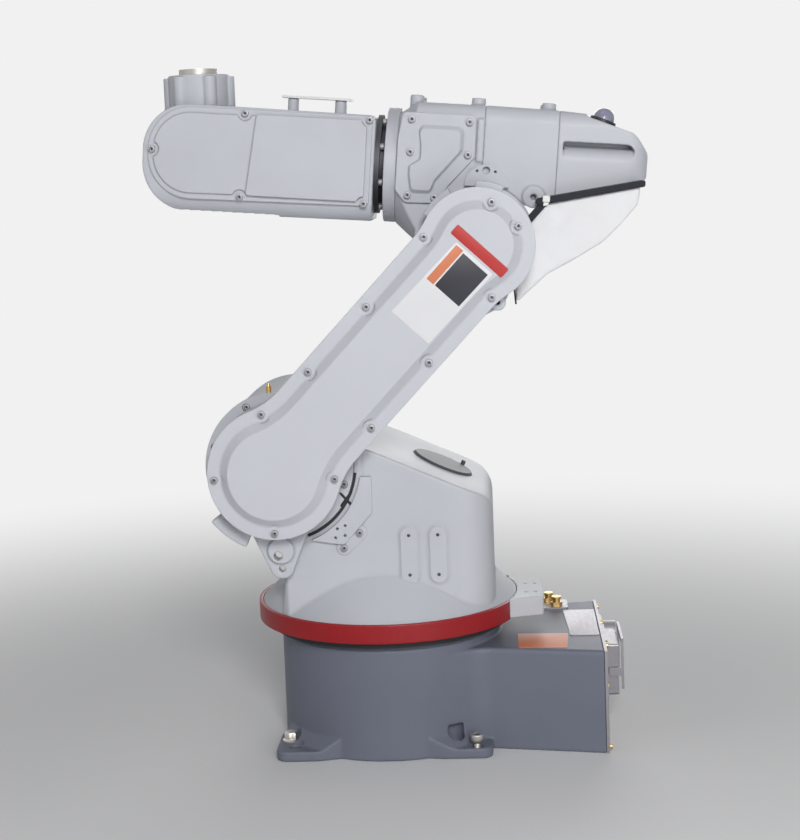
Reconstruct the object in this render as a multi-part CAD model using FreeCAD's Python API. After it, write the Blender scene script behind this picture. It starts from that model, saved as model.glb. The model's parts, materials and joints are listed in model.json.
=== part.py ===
import FreeCAD, Part
import math
import os
from FreeCAD import Vector

# Six-axis jointed robot arm, small payload class, in the pose of its picture.
# Millimetres. +X is the arm's front, +Y its left side, +Z up.
# The origin is on the swivel axis, at the mounting plane under the base.

os.makedirs("parts", exist_ok=True)

# fits shared by every body
turn_gap = 0.3          # running gap between faces that move past each other
bore_gap = 0.05         # radial clearance of a shaft in its bore
face_gap = 3.0          # open gap between two neighbouring links, seen from the side

# axis layout
shoulder_x = 98.5       # swivel axis to lower arm axis
shoulder_z = 298.0      # mounting plane to lower arm axis
arm_length = 295.0      # lower arm axis to elbow axis
arm_lean = 43.6         # backward lean of the lower arm, degrees
roll_offset = 70.0      # elbow axis up to the roll axis
wrist_along = 288.0     # elbow axis to the wrist bend axis, along the roll axis
fore_tilt = 5.3         # upward tilt of the roll axis, degrees
tool_reach = 86.0       # wrist bend axis to the tool flange face

# base
base_r = 114.0          # round pedestal
base_top = 118.0        # seat of the swivel bearing
box_rear = 217.0        # swivel axis to the rear face
box_half = 101.0        # half width of the rear box at its end
box_root = (86.0, 76.5) # where its side walls meet the pedestal
box_top = 104.0         # height of the rear box
base_wall = 9.0         # wall round the connector bay
core_wall = 16.0        # wall of the round pedestal
spot_face = 3.5         # flat round a mounting hole, wider than the hole by this
panel_t = 3.0
panel_x = -box_rear - panel_t
bay_screws = ((-95, 5), (-31, 4.5), (31, 4.5), (95, 5), (-95, 98), (-20, 100), (66, 100), (62, 57))
foot_t = 10.0           # thickness of a foot
foot_y = 110.0          # swivel axis to the outer edge of the feet
foot_front = 114.0      # swivel axis to the front edge of the front feet
foot_rear = 104.0       # swivel axis to the rear edge of the rear feet
foot_slope_out = 15.0   # the foot slopes up to the pedestal over this run
foot_slope_rise = 12.0  # and by this much
jack_seat_r = 10.3      # flat round a jack bolt
mount_front = 96.0      # front mounting holes
mount_rear = 66.0       # rear mounting holes, behind the axis
mount_y = 90.0          # mounting holes, each side
mount_hole_r = 5.5      # hole for a 10 mm bolt
jack_front = (102.0, 72.0)   # hex jack bolt of a front foot
jack_rear = (88.0, 100.0)    # socket jack bolt of a rear foot
gear_r = 72.0           # pocket of the swivel reducer
gear_bore_r = 60.0      # bore of the swivel reducer
gear_floor = 34.0       # bottom of the swivel reducer

# swivel column
seal_r = 124.0          # dust seal under the ring
ring_r = 137.0          # painted swivel ring
ring_low = 125.0        # underside of the ring
ring_high = 145.0       # top edge of the ring
band_t = 4.0            # thickness of the red band
band_end = 156.0        # the band stops this many degrees from the front
skirt_top_r = 92.0      # top of the flared skirt
skirt_top_z = 184.0
column_half = 92.0      # half width of the column body
column_rear = 110.5     # swivel axis to the rear wall
column_front = 92.0     # swivel axis to the front wall
column_back_z = 257.0   # top of the rear wall, before rounding
column_slope = 24.0     # slope of the column's roof, degrees
column_wall = 9.0
cavity_floor = 152.0    # the column is hollow from here up
barrel_r = 70.0         # horizontal barrel of the shoulder
barrel_far = 84.0       # far end of the barrel
barrel_near = 86.0      # near end of the barrel
shoulder_flange_r = 73.5
shoulder_flange_t = 10.0
land_r = 80.5           # raised land on the near wall round the flange
land_t = 2.0
barrel_wall = 9.0
hub_drop = 30.0         # the column's hub reaches this far into the base
swivel_bore_r = 46.0    # bore for the swivel motor
swivel_bore_top = 232.0
shoulder_bore_r = 58.0  # bore of the barrel
motor_side = 60.0       # servo motors, across the flats
flange_t = 7.0          # mounting flange of a motor
cable_r = 1.3           # thin lead round the shoulder flange
cap_r = 33.0            # round access cap on the roof
cap_x = -60.0
shoulder_bolt_pcd = 133.0
ear_screws = ((37.5, 213.5), (21.5, 228.5))
ear_plate_r = 7.5       # round ends of the tie plate, and its thickness
ear_plate_t = 2.5
stop_corners = ((70.0, 222.0, 3.0), (37.0, 217.0, 4.0), (8.0, 249.0, 4.0), (8.0, 285.0), (70.0, 285.0))
stop_holes = ((43.5, 233.5), (35.5, 236.5), (45.5, 224.5), (36.0, 226.5))
stop_hole_r = 1.4
lead_span = (187.0, 250.0)   # the lead runs between these directions
pad_x = (-26.8, -55.7)  # the two tapped pads on the near wall
pad_z = (184.0, 224.0)  # their holes
pad_w = 17.0
pad_t = 2.0
lug_reach = 160.0       # swivel axis to the end of the rear lug
lug_half = 36.0         # half width at its end
lug_root_half = 52.0    # half width at the ring

# lower arm, drawn upright and leaned later
arm_low_r = 65.0        # shoulder end
arm_high_r = 55.0       # elbow end
arm_half = 50.0         # half width between the ends
arm_blend = 80.0        # hollow radius from an end into the straight sides
arm_wall = 7.0
arm_depth = 38.0        # casting, back face to cover seat
cover_t = 4.0           # flat rim of the cover
cover_dome = 12.0       # raised middle above the seat
dome_inset = 13.0       # rim width up to the foot of the dome
dome_slope = 8.0        # run of the dome's side
hub_r = 30.0            # spigots at both ends of the lower arm
harness_r = 8.0         # cable bundle inside the arm
arm_screw_rows = ((-43.0, 39.0), (36.0, 47.0), (97.0, 40.5))   # up from the shoulder axis, and sideways
arm_screw_tops = ((-114.0, 40.0), (-28.0, 43.0), (39.0, 17.0))  # up from the elbow axis, and sideways
notch_r = 8.5           # relief round each cover screw
ear_r = 12.0            # round end of the lifting ear
ear_reach = 99.0        # shoulder axis to the middle of the ear's end
ear_turn = -133.6       # direction of the ear in the upright arm, degrees
stop_r = 85.0           # travel stop on the lower arm
ear_t = 11.0            # thickness of the lifting ear
lug_drop = 29.0         # cable lug, below the elbow axis
lug_out = 1.5           # and outside the straight side
lug_r = 8.0
lug_web = (59.0, 35.0, 20.0, -5.0)   # corners of its web, below the elbow axis

# forearm housing, drawn level from the elbow axis and tilted later
fore_half = 58.0        # half width of the housing
elbow_r = 57.0          # round bottom of the housing about the elbow axis
roof_up = 134.0         # elbow axis to the housing's top
disc_front = 98.0       # front face of the roll flange
disc_t = 12.5
disc_r = 58.0
seam_mid = 0.0          # joint between front and middle housing
cap_seam = -73.0        # joint between middle housing and rear cap
cap_end = -163.0
plate_t = 4.5           # side cover plate
island_t = 4.0          # raised field on it
plate_screws = ((72.0, 116.0), (15.0, 116.0), (72.0, 84.0), (15.0, 84.0), (72.5, 41.5), (46.0, 40.5))
top_bosses = (69.0, 7.5, -62.5)
boss_r = 7.0
boss_y = 32.0
boss_up = 141.0
elbow_flange_r = 42.0
elbow_tab_r = 60.0      # guard tabs round the elbow, from and to these directions
elbow_tabs = ((24, 58), (84, 112))
elbow_bore_r = 40.0     # bore of the housing for the elbow gear
roll_bore_r = 40.0      # bore of the housing for the roll shaft
motor_bay_half = 44.0   # bay for the wrist motors
motor_bay_low = 60.0
motor_bay_high = 122.0
wrist_motor_side = 27.0
elbow_motor_side = 50.0
tie_boss = (-52.0, 46.5)     # boss with the screw of the cable tie
slot_front = -78.0      # scooped slot of the rear cap
slot_rear = -148.0
slot_low = 84.0
slot_high = 102.5
slot_depth = 12.0
lamp_r = 11.0
lamp_ring_r = 13.5
lamp_ring_t = 3.0
lamp_turn = 17.0        # lean of the lamp with the tail's slope
lamp_spot = (-122.0, 0.0, 121.5)

# wrist arm
wrist_rear = 108.0      # rear face, from the elbow axis along the roll axis
wrist_half = 52.0       # casting half width
nose_r = 52.0           # round nose about the bend axis
fork_half = 39.0        # half width of the fork gap
fork_depth = 86.0       # gap runs this far behind the bend axis
side_t = 6.0            # side covers
side_step = 3.0         # raised rear panel
field_edge = 8.0        # its rim at the rear
field_front = -54.0     # its front end, its top and bottom, from the bend axis
field_top = 42.5
field_low = -38.0
belt_pocket = 8.0       # depth of the belt pockets under the side covers
belt_t = 2.0
driven_r = 24.0         # pulley on the bend shaft
drive_r = 12.0          # pulley at the rear
drive_in = 30.0         # wrist arm's rear face to the rear pulleys
roll_flange_r = 50.0    # flange of the roll shaft, bolted to the wrist arm
roll_flange_t = 5.0
roll_bolt_pcd = 92.0
bar_z = 62.0            # flat guard bar over the wrist arm
bar_t = 2.5
bar_half = 9.0
bar_span = (28.0, 100.0)     # its ends, from the wrist arm's rear face
bar_posts = (40.0, 89.0)     # its two posts, from the same face
post_r = 6.0
wrist_front_screws = ((42.0, 3.0), (-50.0, 43.0), (-48.0, -40.0))   # from the bend axis
wrist_rear_screws = ((6.0, 43.0), (8.0, -40.0))                     # from the wrist arm's rear face

# bend unit and tool flange, drawn upright over the bend axis
unit_r = 36.5
unit_seat = 48.0        # bend axis to the seat of the lobed cover
unit_top = 80.0         # bend axis to the top of the lobed cover
lobe_count = 6
lobe_r = 6.0
stub_r = 14.0           # bend shafts in the fork
tool_r = 20.0           # tool flange
tool_t = 8.0            # depth of its seat in the lobed cover
tool_pcd = 31.5
tool_hole_r = 2.1       # tapped 5 mm holes
tool_bore_r = 10.0
tool_bore_depth = 6.0
tool_shaft_r = 16.0

# screws: head radius, head height, shank radius, shank length
screw_m4 = (3.5, 4.0, 2.0, 8.0)
screw_m5 = (4.25, 5.0, 2.5, 10.0)
screw_m3 = (2.75, 3.0, 1.5, 6.0)

lean = math.radians(arm_lean)
tilt = math.radians(fore_tilt)
arm_back = barrel_near + shoulder_flange_t + face_gap
arm_seat = arm_back + arm_depth
elbow_x = shoulder_x - arm_length * math.sin(lean)
elbow_z = shoulder_z + arm_length * math.cos(lean)
wrist_x = elbow_x + wrist_along * math.cos(tilt) - roll_offset * math.sin(tilt)
wrist_z = elbow_z + wrist_along * math.sin(tilt) + roll_offset * math.cos(tilt)
rear_x = wrist_rear - wrist_along
drive_x = rear_x + drive_in
arm_screws = [(z, x * side) for z, x in arm_screw_rows for side in (1, -1)]
arm_screws += [(arm_length + z, x * side) for z, x in arm_screw_tops for side in (1, -1)]
wrist_screws = list(wrist_front_screws) + [(rear_x + x, z) for x, z in wrist_rear_screws]


# drawing helpers

def at(plane, p, q, level):
    """Point p, q on the plane across axis x, y or z, at that level."""
    if plane == "x":
        return Vector(level, p, q)
    if plane == "y":
        return Vector(p, level, q)
    return Vector(p, q, level)


def along(plane, length):
    return at(plane, 0.0, 0.0, length)


def rod(plane, r, low, high, p=0.0, q=0.0):
    """Cylinder along the axis, from low to high, centred on p, q."""
    return Part.makeCylinder(r, high - low, at(plane, p, q, low), along(plane, 1.0))


def tube(plane, outer, inner, low, high, p=0.0, q=0.0):
    return rod(plane, outer, low, high, p, q).cut(rod(plane, inner, low - 1, high + 1, p, q))


def cone(plane, r_low, r_high, low, high, p=0.0, q=0.0):
    return Part.makeCone(r_low, r_high, high - low, at(plane, p, q, low), along(plane, 1.0))


def block(x0, x1, y0, y1, z0, z1):
    return Part.makeBox(x1 - x0, y1 - y0, z1 - z0, Vector(x0, y0, z0))


def outline(plane, corners, level):
    """Closed wire through corners (p, q) or (p, q, radius), rounded where a radius is given."""
    n = len(corners)
    spots = [Vector(c[0], c[1], 0) for c in corners]
    radii = [c[2] if len(c) > 2 else 0.0 for c in corners]
    runs = []
    for i in range(n):
        here, before, after = spots[i], spots[i - 1], spots[(i + 1) % n]
        if radii[i] <= 0:
            runs.append((here, None, here))
            continue
        back = (before - here).normalize()
        ahead = (after - here).normalize()
        half = math.acos(max(-1.0, min(1.0, back.dot(ahead)))) / 2
        cut = radii[i] / math.tan(half)
        middle = here + (back + ahead).normalize() * (radii[i] / math.sin(half))
        nearest = middle + (here - middle).normalize() * radii[i]
        runs.append((here + back * cut, nearest, here + ahead * cut))
    edges = []
    for i in range(n):
        start, mid, end = runs[i]
        if mid is not None:
            ends = [at(plane, v.x, v.y, level) for v in (start, mid, end)]
            edges.append(Part.Arc(*ends).toShape())
        nxt = runs[(i + 1) % n][0]
        if (nxt - end).Length > 1e-6:
            edges.append(Part.makeLine(at(plane, end.x, end.y, level), at(plane, nxt.x, nxt.y, level)))
    return Part.Wire(edges)


def prism(plane, corners, low, high):
    return Part.Face(outline(plane, corners, low)).extrude(along(plane, high - low))


def polar(r, degrees, p=0.0, q=0.0):
    a = math.radians(degrees)
    return p + r * math.cos(a), q + r * math.sin(a)


def sector(plane, inner, outer, start, end, low, high, p=0.0, q=0.0):
    """Part of a ring between two directions, in degrees."""
    mid = (start + end) / 2
    a, b, c = (at(plane, *polar(outer, d, p, q), low) for d in (start, mid, end))
    d, e, f = (at(plane, *polar(inner, d, p, q), low) for d in (end, mid, start))
    wire = Part.Wire([Part.Arc(a, b, c).toShape(), Part.makeLine(c, d), Part.Arc(d, e, f).toShape(),
                      Part.makeLine(f, a)])
    return Part.Face(wire).extrude(along(plane, high - low))


def fused(shapes):
    whole = shapes[0]
    for shape in shapes[1:]:
        whole = whole.fuse(shape)
    return whole.removeSplitter()


def without(shape, tools):
    for tool in tools:
        shape = shape.cut(tool)
    return shape


def edges_where(shape, test):
    return [e for e in shape.Edges if test(e.BoundBox, e)]


def softened(shape, radius, test):
    """Round the edges that pass the test, one radius for all."""
    return shape.makeFillet(radius, edges_where(shape, test))


def screw(size, x, y, z, direction):
    """Cap screw with its head seated at the point, shank going along the direction."""
    head_r, head_h, shank_r, shank_l = size
    way = Vector(*direction)
    seat = Vector(x, y, z)
    head = Part.makeCylinder(head_r, head_h, seat - way * head_h, way)
    side = Vector(0, 0, 1) if abs(way.z) < 0.5 else Vector(1, 0, 0)
    other = way.cross(side)
    ring = [seat + side * u + other * v for u, v in (polar(shank_r, 60 * k) for k in range(6))]
    shank = Part.Face(Part.makePolygon(ring + [ring[0]])).extrude(way * shank_l)
    return head.fuse(shank)


square = ((-1, -1), (1, -1), (1, 1), (-1, 1))


def group(shapes):
    return Part.makeCompound(shapes)


def save(name, shape):
    shape.exportStep("parts/" + name + ".step")


def lean_arm(shape):
    """Upright lower arm to its place: lean back, then carry to the shoulder axis."""
    shape = shape.copy()
    shape.rotate(Vector(0, 0, 0), Vector(0, 1, 0), -arm_lean)
    shape.translate(Vector(shoulder_x, 0, shoulder_z))
    return shape


def tilt_fore(shape):
    """Level forearm, drawn from the elbow axis, to its place."""
    shape = shape.copy()
    shape.rotate(Vector(0, 0, 0), Vector(0, 1, 0), -fore_tilt)
    shape.translate(Vector(elbow_x, 0, elbow_z))
    return shape


def lift_wrist(shape):
    """Upright bend unit, drawn from the bend axis, to its place."""
    shape = shape.copy()
    shape.translate(Vector(wrist_x, 0, wrist_z))
    return shape


def both_sides(x, y):
    return [(x, y), (x, -y)]


# base

def base_casting():
    pedestal = rod("z", base_r, 0, base_top - 6)
    collar = rod("z", base_r - 2, base_top - 6, base_top)
    x, y = box_root
    flank = [(-box_rear, box_half), (-x - 8, y + 1.5, 40), (26 - x, y + 20.5)]
    plan = [(p[0], -p[1], *p[2:]) for p in flank] + [(0, 0)] + flank[::-1]
    box = prism("z", plan, 0, box_top)
    box = softened(box, 4, lambda b, e: b.XLength > 60 and b.ZMin > box_top - 1 and b.YLength < 60)
    feet = []
    for side in (1, -1):
        front = [(96, 40 * side), (foot_front, 58 * side), (foot_front, foot_y * side, 12),
                 (72, foot_y * side, 20), (34, 100 * side)]
        rear = [(-24, 104 * side), (-56, foot_y * side, 20), (-foot_rear, foot_y * side, 12),
                (-foot_rear, 60 * side), (-40, 60 * side)]
        slope = cone("z", base_r + foot_slope_out, base_r - 1, foot_t - 1, foot_t + foot_slope_rise)
        for plan_of_foot in (front, rear):
            feet.append(prism("z", plan_of_foot, 0, foot_t))
            feet.append(prism("z", plan_of_foot, 0, base_top).common(slope))
    casting = fused([pedestal, collar, box] + feet)
    holes = [rod("z", mount_hole_r, -1, foot_t + 20, x, y)
             for x, y in both_sides(mount_front, mount_y) + both_sides(-mount_rear, mount_y)]
    flats = [rod("z", mount_hole_r + spot_face, foot_t - 1.0, foot_t + 20, x, y)
             for x, y in both_sides(mount_front, mount_y) + both_sides(-mount_rear, mount_y)]
    jacks = [rod("z", 5, -1, foot_t + 1, x, y) for x, y in both_sides(*jack_front)]
    jacks += [rod("z", 6, -1, foot_t + 1, -x, y) for x, y in both_sides(*jack_rear)]
    jacks += [rod("z", jack_seat_r, foot_t, base_top / 2, x, y)
              for x, y in both_sides(*jack_front) + both_sides(-jack_rear[0], jack_rear[1])]
    wide, narrow = box_half - base_wall, y - base_wall
    bay = prism("z", [(-box_rear - 1, -wide), (-x - 14, -narrow), (-x - 14, narrow), (-box_rear - 1, wide)],
                base_wall, box_top - base_wall)
    core = tube("z", base_r - core_wall, gear_r + base_wall, -1, base_top - 14)
    core = core.cut(prism("z", plan[:3] + [(60, -y - 20), (60, y + 20)] + plan[4:], -2, box_top).common(
        block(-400, -x + 4, -200, 200, -2, 200)))
    taps = [rod("x", 1.5, -box_rear - 1, -box_rear + 8, y, z) for y, z in bay_screws]
    pocket = rod("z", gear_r, gear_floor, base_top + 1)
    return without(casting, holes + flats + jacks + taps + [bay, pocket, core])


def hex_bolt(x, y, seat, shank_r, depth):
    flats = [polar(9.2, 60 * k + 30, x, y) for k in range(6)]
    head = prism("z", flats, seat, seat + 7)
    washer = rod("z", 10, seat - 2, seat, x, y)
    return fused([washer, head, rod("z", shank_r, seat - 2 - depth, seat - 2, x, y)])


def socket_bolt(x, y, seat, shank_r, depth):
    head = rod("z", 7.2, seat, seat + 9, x, y).cut(rod("z", 4.2, seat + 3, seat + 10, x, y))
    return fused([head, rod("z", shank_r, seat - depth, seat, x, y)])


def rear_panel():
    panel = prism("x", [(-box_half, 1), (box_half, 1), (box_half, box_top), (-box_half, box_top)],
                  panel_x, -box_rear)
    holes = [rod("x", 1.55, panel_x - 1, 0, y, z) for y, z in bay_screws]
    sockets = [block(panel_x - 1, 0, -52, -28, 73, 97), block(panel_x - 1, 0, -8, 48, 42, 96)]
    return without(panel, holes + sockets)


def power_connector():
    """Long rectangular connector: flange on the panel and hood behind it."""
    flange = prism("x", [(-14, 39, 3), (54, 39, 3), (54, 101, 3), (-14, 101, 3)], panel_x - 3, panel_x)
    body = prism("x", [(-7.5, 42.5, 2), (47.5, 42.5, 2), (47.5, 95.5, 2), (-7.5, 95.5, 2)], panel_x - 14,
                 -box_rear)
    plug = prism("x", [(-6, 44, 2), (46, 44, 2), (46, 94, 2), (-6, 94, 2)], -box_rear, -box_rear + 12)
    recess = prism("x", [(-3, 47, 2), (43, 47, 2), (43, 91, 2), (-3, 91, 2)], panel_x - 15, panel_x - 6)
    return fused([flange, body, plug]).cut(recess)


def signal_connector():
    flange = prism("x", [(-55, 70, 2), (-25, 70, 2), (-25, 100, 2), (-55, 100, 2)], panel_x - 2.5, panel_x)
    shell = rod("x", 11.5, panel_x - 17, panel_x - 2.5, -40, 85)
    plug = rod("x", 9.5, -box_rear - 3, -box_rear + 10, -40, 85)
    core = rod("x", 8.5, panel_x - 18, panel_x - 8, -40, 85)
    return fused([flange, shell, plug]).cut(core)


def connector_lever():
    """Wire-like locking lever round the long connector, pivoting on its two ends."""
    x0, x1 = panel_x - 19, panel_x - 4
    bars = [block(x0, x1, y, y + 2.5, 64, 72) for y in (-12.2, 49.7)]
    bars += [block(x0, x0 + 2.5, y, y + 2.5, 50, 100) for y in (-12.2, 49.7)]
    bars.append(block(x0, x0 + 2.5, -12.2, 52.2, 97.5, 103))
    pins = [rod("y", 2.0, -9.7, -7.5, x1 - 4, 68), rod("y", 2.0, 47.5, 49.7, x1 - 4, 68)]
    return fused(bars + pins)


def air_fittings():
    """Two brass air fittings with their lock nuts, on the small plate."""
    pieces = []
    for x, y in ((-168, -92), (-176, -74)):
        nut = prism("z", [polar(6.5, 60 * k, x, y) for k in range(6)], box_top + 2, box_top + 6)
        pieces.append(fused([nut, rod("z", 4.2, box_top + 6, box_top + 10, x, y),
                             rod("z", 5.2, box_top + 10, box_top + 12, x, y)]))
    return group(pieces)


def fitting_plate():
    corners = [(-188, -98, 2), (-158, -98, 2), (-158, -64, 2), (-188, -64, 2)]
    return prism("z", corners, box_top, box_top + 2)


def build_base():
    save("base_casting", base_casting())
    front_bolts = [hex_bolt(x, y, foot_t + 2, 4.9, 8) for x, y in both_sides(*jack_front)]
    save("jack_bolts_front", group(front_bolts))
    rear_bolts = [socket_bolt(-x, y, foot_t + 7, 5.9, 15) for x, y in both_sides(*jack_rear)]
    save("jack_bolts_rear", group(rear_bolts))
    ring = rod("z", gear_r, gear_floor, base_top).cut(
        rod("z", gear_bore_r + bore_gap, gear_floor + 8, base_top + 1))
    save("swivel_reducer", ring)
    save("swivel_bearing", tube("z", base_r - 4, 90, base_top, ring_low))
    save("dust_seal", tube("z", seal_r, base_r - 4, base_top, ring_low))
    save("rear_panel", rear_panel())
    save("panel_screws", group([screw(screw_m3, panel_x, y, z, (1, 0, 0)) for y, z in bay_screws]))
    save("power_connector", power_connector())
    save("signal_connector", signal_connector())
    save("connector_lever", connector_lever())
    save("fitting_plate", fitting_plate())
    save("air_fittings", air_fittings())


# swivel column

roof = math.tan(math.radians(column_slope))


def roof_z(x):
    """Height of the column's sloping roof."""
    return column_back_z + (x + column_rear) * roof


def column_casting():
    low = ring_low + turn_gap
    disc = rod("z", ring_r - band_t, low, ring_high)
    skirt = cone("z", ring_r - band_t - 1, skirt_top_r, ring_high, skirt_top_z)
    body = prism("y", [(-column_rear, ring_high - 4), (-column_rear, roof_z(-column_rear), 26),
                       (shoulder_x - 42, roof_z(shoulder_x - 42)), (shoulder_x, shoulder_z + barrel_r - 12),
                       (shoulder_x, shoulder_z), (column_front, 226), (column_front + 12, ring_high - 4)],
                 -column_half, column_half)
    plan = prism("z", [(-column_rear, -column_half, 36), (shoulder_x + 20, -column_half),
                       (shoulder_x + 20, column_half), (-column_rear, column_half, 36)], 0, 400)
    round_front = rod("z", ring_r - band_t - 0.1, 0, 400)
    body = body.common(plan).common(round_front)
    barrel = rod("y", barrel_r, -barrel_far, barrel_near, shoulder_x, shoulder_z)
    pads = []
    for x in pad_x:
        z0, z1 = pad_z[0] - pad_w / 2, pad_z[1] + pad_w / 2
        r = pad_w / 2 - 0.05
        pads.append(prism("y", [(x - pad_w / 2, z0, r), (x + pad_w / 2, z0, r), (x + pad_w / 2, z1, r),
                                (x - pad_w / 2, z1, r)], column_half - 1, column_half + pad_t))
    hub = rod("z", gear_bore_r, base_top - hub_drop, low)
    land = sector("y", shoulder_flange_r, land_r, 172, 262, column_half - 2, column_half + land_t,
                  shoulder_x, shoulder_z)
    whole = fused([disc, skirt, body, barrel, hub, land] + pads)
    wall = column_wall
    back, front = wall - column_rear, column_front - wall
    cavity = prism("y", [(back, cavity_floor), (back, roof_z(-column_rear) - wall, 20),
                         (20, roof_z(20) - wall - 2), (20, 214), (front, 214), (front, cavity_floor)],
                   wall - column_half, column_half - wall)
    cavity = cavity.common(rod("z", ring_r - band_t - 2 * wall, 0, 400))
    bores = [cavity, rod("z", swivel_bore_r, base_top - hub_drop - 1, swivel_bore_top),
             rod("y", shoulder_bore_r, -barrel_far + barrel_wall, barrel_near + 1, shoulder_x, shoulder_z),
             rod("y", shoulder_flange_r + 0.1, barrel_near, barrel_near + 20, shoulder_x, shoulder_z)]
    bores += [rod("y", 1.7, column_half - 14, column_half + 5, x, z) for x in pad_x for z in pad_z]
    bores += [rod("y", 2.0, column_half - 8, column_half + 1, x, z) for x, z in ear_screws]
    return without(whole, bores)


def swivel_band():
    return sector("z", ring_r - band_t, ring_r, -band_end, band_end, ring_low + turn_gap + 0.5, ring_high)


def rear_lug():
    """Bracket at the back of the swivel ring."""
    r = ring_r - band_t
    shape = prism("z", [(-r + 30, -lug_root_half), (-lug_reach, -lug_half, 4), (-lug_reach, lug_half, 4),
                        (-r + 30, lug_root_half)], ring_low + turn_gap, ring_high)
    shape = shape.cut(rod("z", r, 0, 200))
    holes = [rod("z", 1.7, ring_high - 12, ring_high + 1, x, y) for x in (-lug_reach + 8, -lug_reach + 18)
             for y in (-18, 18)]
    return without(shape, holes)


def shoulder_reducer():
    face = barrel_near + shoulder_flange_t
    inner = hub_r + bore_gap
    ring = tube("y", shoulder_flange_r, inner, barrel_near, face, shoulder_x, shoulder_z)
    body = tube("y", shoulder_bore_r - 0.1, inner, barrel_near - 26, barrel_near, shoulder_x, shoulder_z)
    sinks = [rod("y", screw_m4[0] + 0.5, face - 4, face + 1, x, z) for x, z in shoulder_bolt_spots()]
    sinks += [rod("y", 2.0, face - 9, face + 1, x, z) for x, z in shoulder_bolt_spots()]
    return without(fused([ring, body]), sinks)


def motor(plane, rear, seat, tip, p, q, side, flange_r):
    """Square servo motor: round mounting flange at the seat, shaft from there to the tip."""
    h = side / 2
    way = 1 if seat > rear else -1
    low, high = sorted((rear, seat - flange_t * way))
    body = prism(plane, [(p + i * h, q + j * h, 6) for i, j in square], low, high)
    flange = rod(plane, flange_r, *sorted((seat - flange_t * way, seat)), p, q)
    return fused([body, flange, rod(plane, 7, *sorted((seat, tip)), p, q)])


def roof_cap():
    """Round access cap lying on the column's roof, with its small vent pin."""
    cap = cone("z", cap_r, cap_r - 2, 0, 2.5)
    pin = rod("z", 2.2, 0, 6, -cap_r + 12, -cap_r + 4)
    shape = fused([cap, pin.cut(cap)])
    shape.rotate(Vector(0, 0, 0), Vector(0, 1, 0), -column_slope)
    shape.translate(Vector(cap_x, 0, roof_z(cap_x)))
    return shape


def shoulder_bolt_spots():
    return [polar(shoulder_bolt_pcd / 2, 18 + 45 * k, shoulder_x, shoulder_z) for k in range(8)]


def stopper_block():
    """Raised block on the near wall, under the shoulder flange, with its tapped holes."""
    plate = prism("y", stop_corners, column_half, arm_back - 1)
    plate = plate.cut(rod("y", land_r, 0, arm_back, shoulder_x, shoulder_z))
    holes = [rod("y", stop_hole_r, 0, arm_back, x, z) for x, z in stop_holes]
    return without(plate, holes)


def ear_plate():
    """Two-screw oblong tie plate beside the stopper block."""
    (ax, az), (bx, bz) = ear_screws
    reach = Vector(bx - ax, 0, bz - az).normalize()
    side = Vector(-reach.z, 0, reach.x) * ear_plate_r
    a, b = Vector(ax, 0, az), Vector(bx, 0, bz)
    band = [(v.x, v.z) for v in (a + side, b + side, b - side, a - side)]
    low, high = column_half, column_half + ear_plate_t
    ends = [rod("y", ear_plate_r, low, high, x, z) for x, z in ear_screws]
    plate = fused([prism("y", band, low, high)] + ends)
    holes = [rod("y", screw_m4[2] + bore_gap, low - 1, high + 1, x, z) for x, z in ear_screws]
    return without(plate, [prism("y", stop_corners, low - 1, high + 1)] + holes)


def sensor_cable():
    """Thin black lead that follows the rim of the shoulder flange."""
    r = shoulder_flange_r + cable_r + 0.6
    low = column_half + land_t
    return sector("y", r - cable_r, r + cable_r, *lead_span, low, low + 2 * cable_r, shoulder_x, shoulder_z)


def grease_nipple():
    x = shoulder_x + 7.6
    y = barrel_near + shoulder_flange_t / 2
    stem = rod("z", 2.6, shoulder_z + 60, shoulder_z + shoulder_flange_r + 6, x, y)
    tip = cone("z", 1.8, 1.2, shoulder_z + shoulder_flange_r + 6, shoulder_z + shoulder_flange_r + 9, x, y)
    return fused([stem, tip]).cut(rod("y", shoulder_flange_r, 0, 200, shoulder_x, shoulder_z))


def build_column():
    save("column_casting", column_casting())
    save("swivel_band", swivel_band())
    save("rear_lug", rear_lug())
    save("shoulder_reducer", shoulder_reducer())
    face = barrel_near + shoulder_flange_t
    save("shoulder_screws", group([screw((3.5, 4.0, 2.0, 5.0), x, face - 4, z, (0, -1, 0))
                                   for x, z in shoulder_bolt_spots()]))
    save("swivel_motor", motor("z", 205, base_top - 20, gear_floor + 20, 0, 0, motor_side, swivel_bore_r))
    shaft_tip = barrel_near - 14
    save("shoulder_motor", motor("y", -52, barrel_near - 27, shaft_tip, shoulder_x, shoulder_z, motor_side,
                                 shoulder_bore_r))
    save("roof_cap", roof_cap())
    save("stopper_block", stopper_block())
    save("ear_plate", ear_plate())
    seat = column_half + ear_plate_t
    save("ear_plate_screws", group([screw(screw_m4, x, seat, z, (0, -1, 0)) for x, z in ear_screws]))
    save("sensor_cable", sensor_cable())
    save("grease_nipple", grease_nipple())


# lower arm

def arm_points(inset):
    """Radii, half width and blend of the arm's outline, moved inwards by the inset."""
    low, high = arm_low_r - inset, arm_high_r - inset
    half, blend = arm_half - inset, arm_blend + inset
    rise_low = math.sqrt((low + blend) ** 2 - (half + blend) ** 2)
    rise_high = math.sqrt((high + blend) ** 2 - (half + blend) ** 2)
    return low, high, half, blend, rise_low, rise_high


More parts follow.
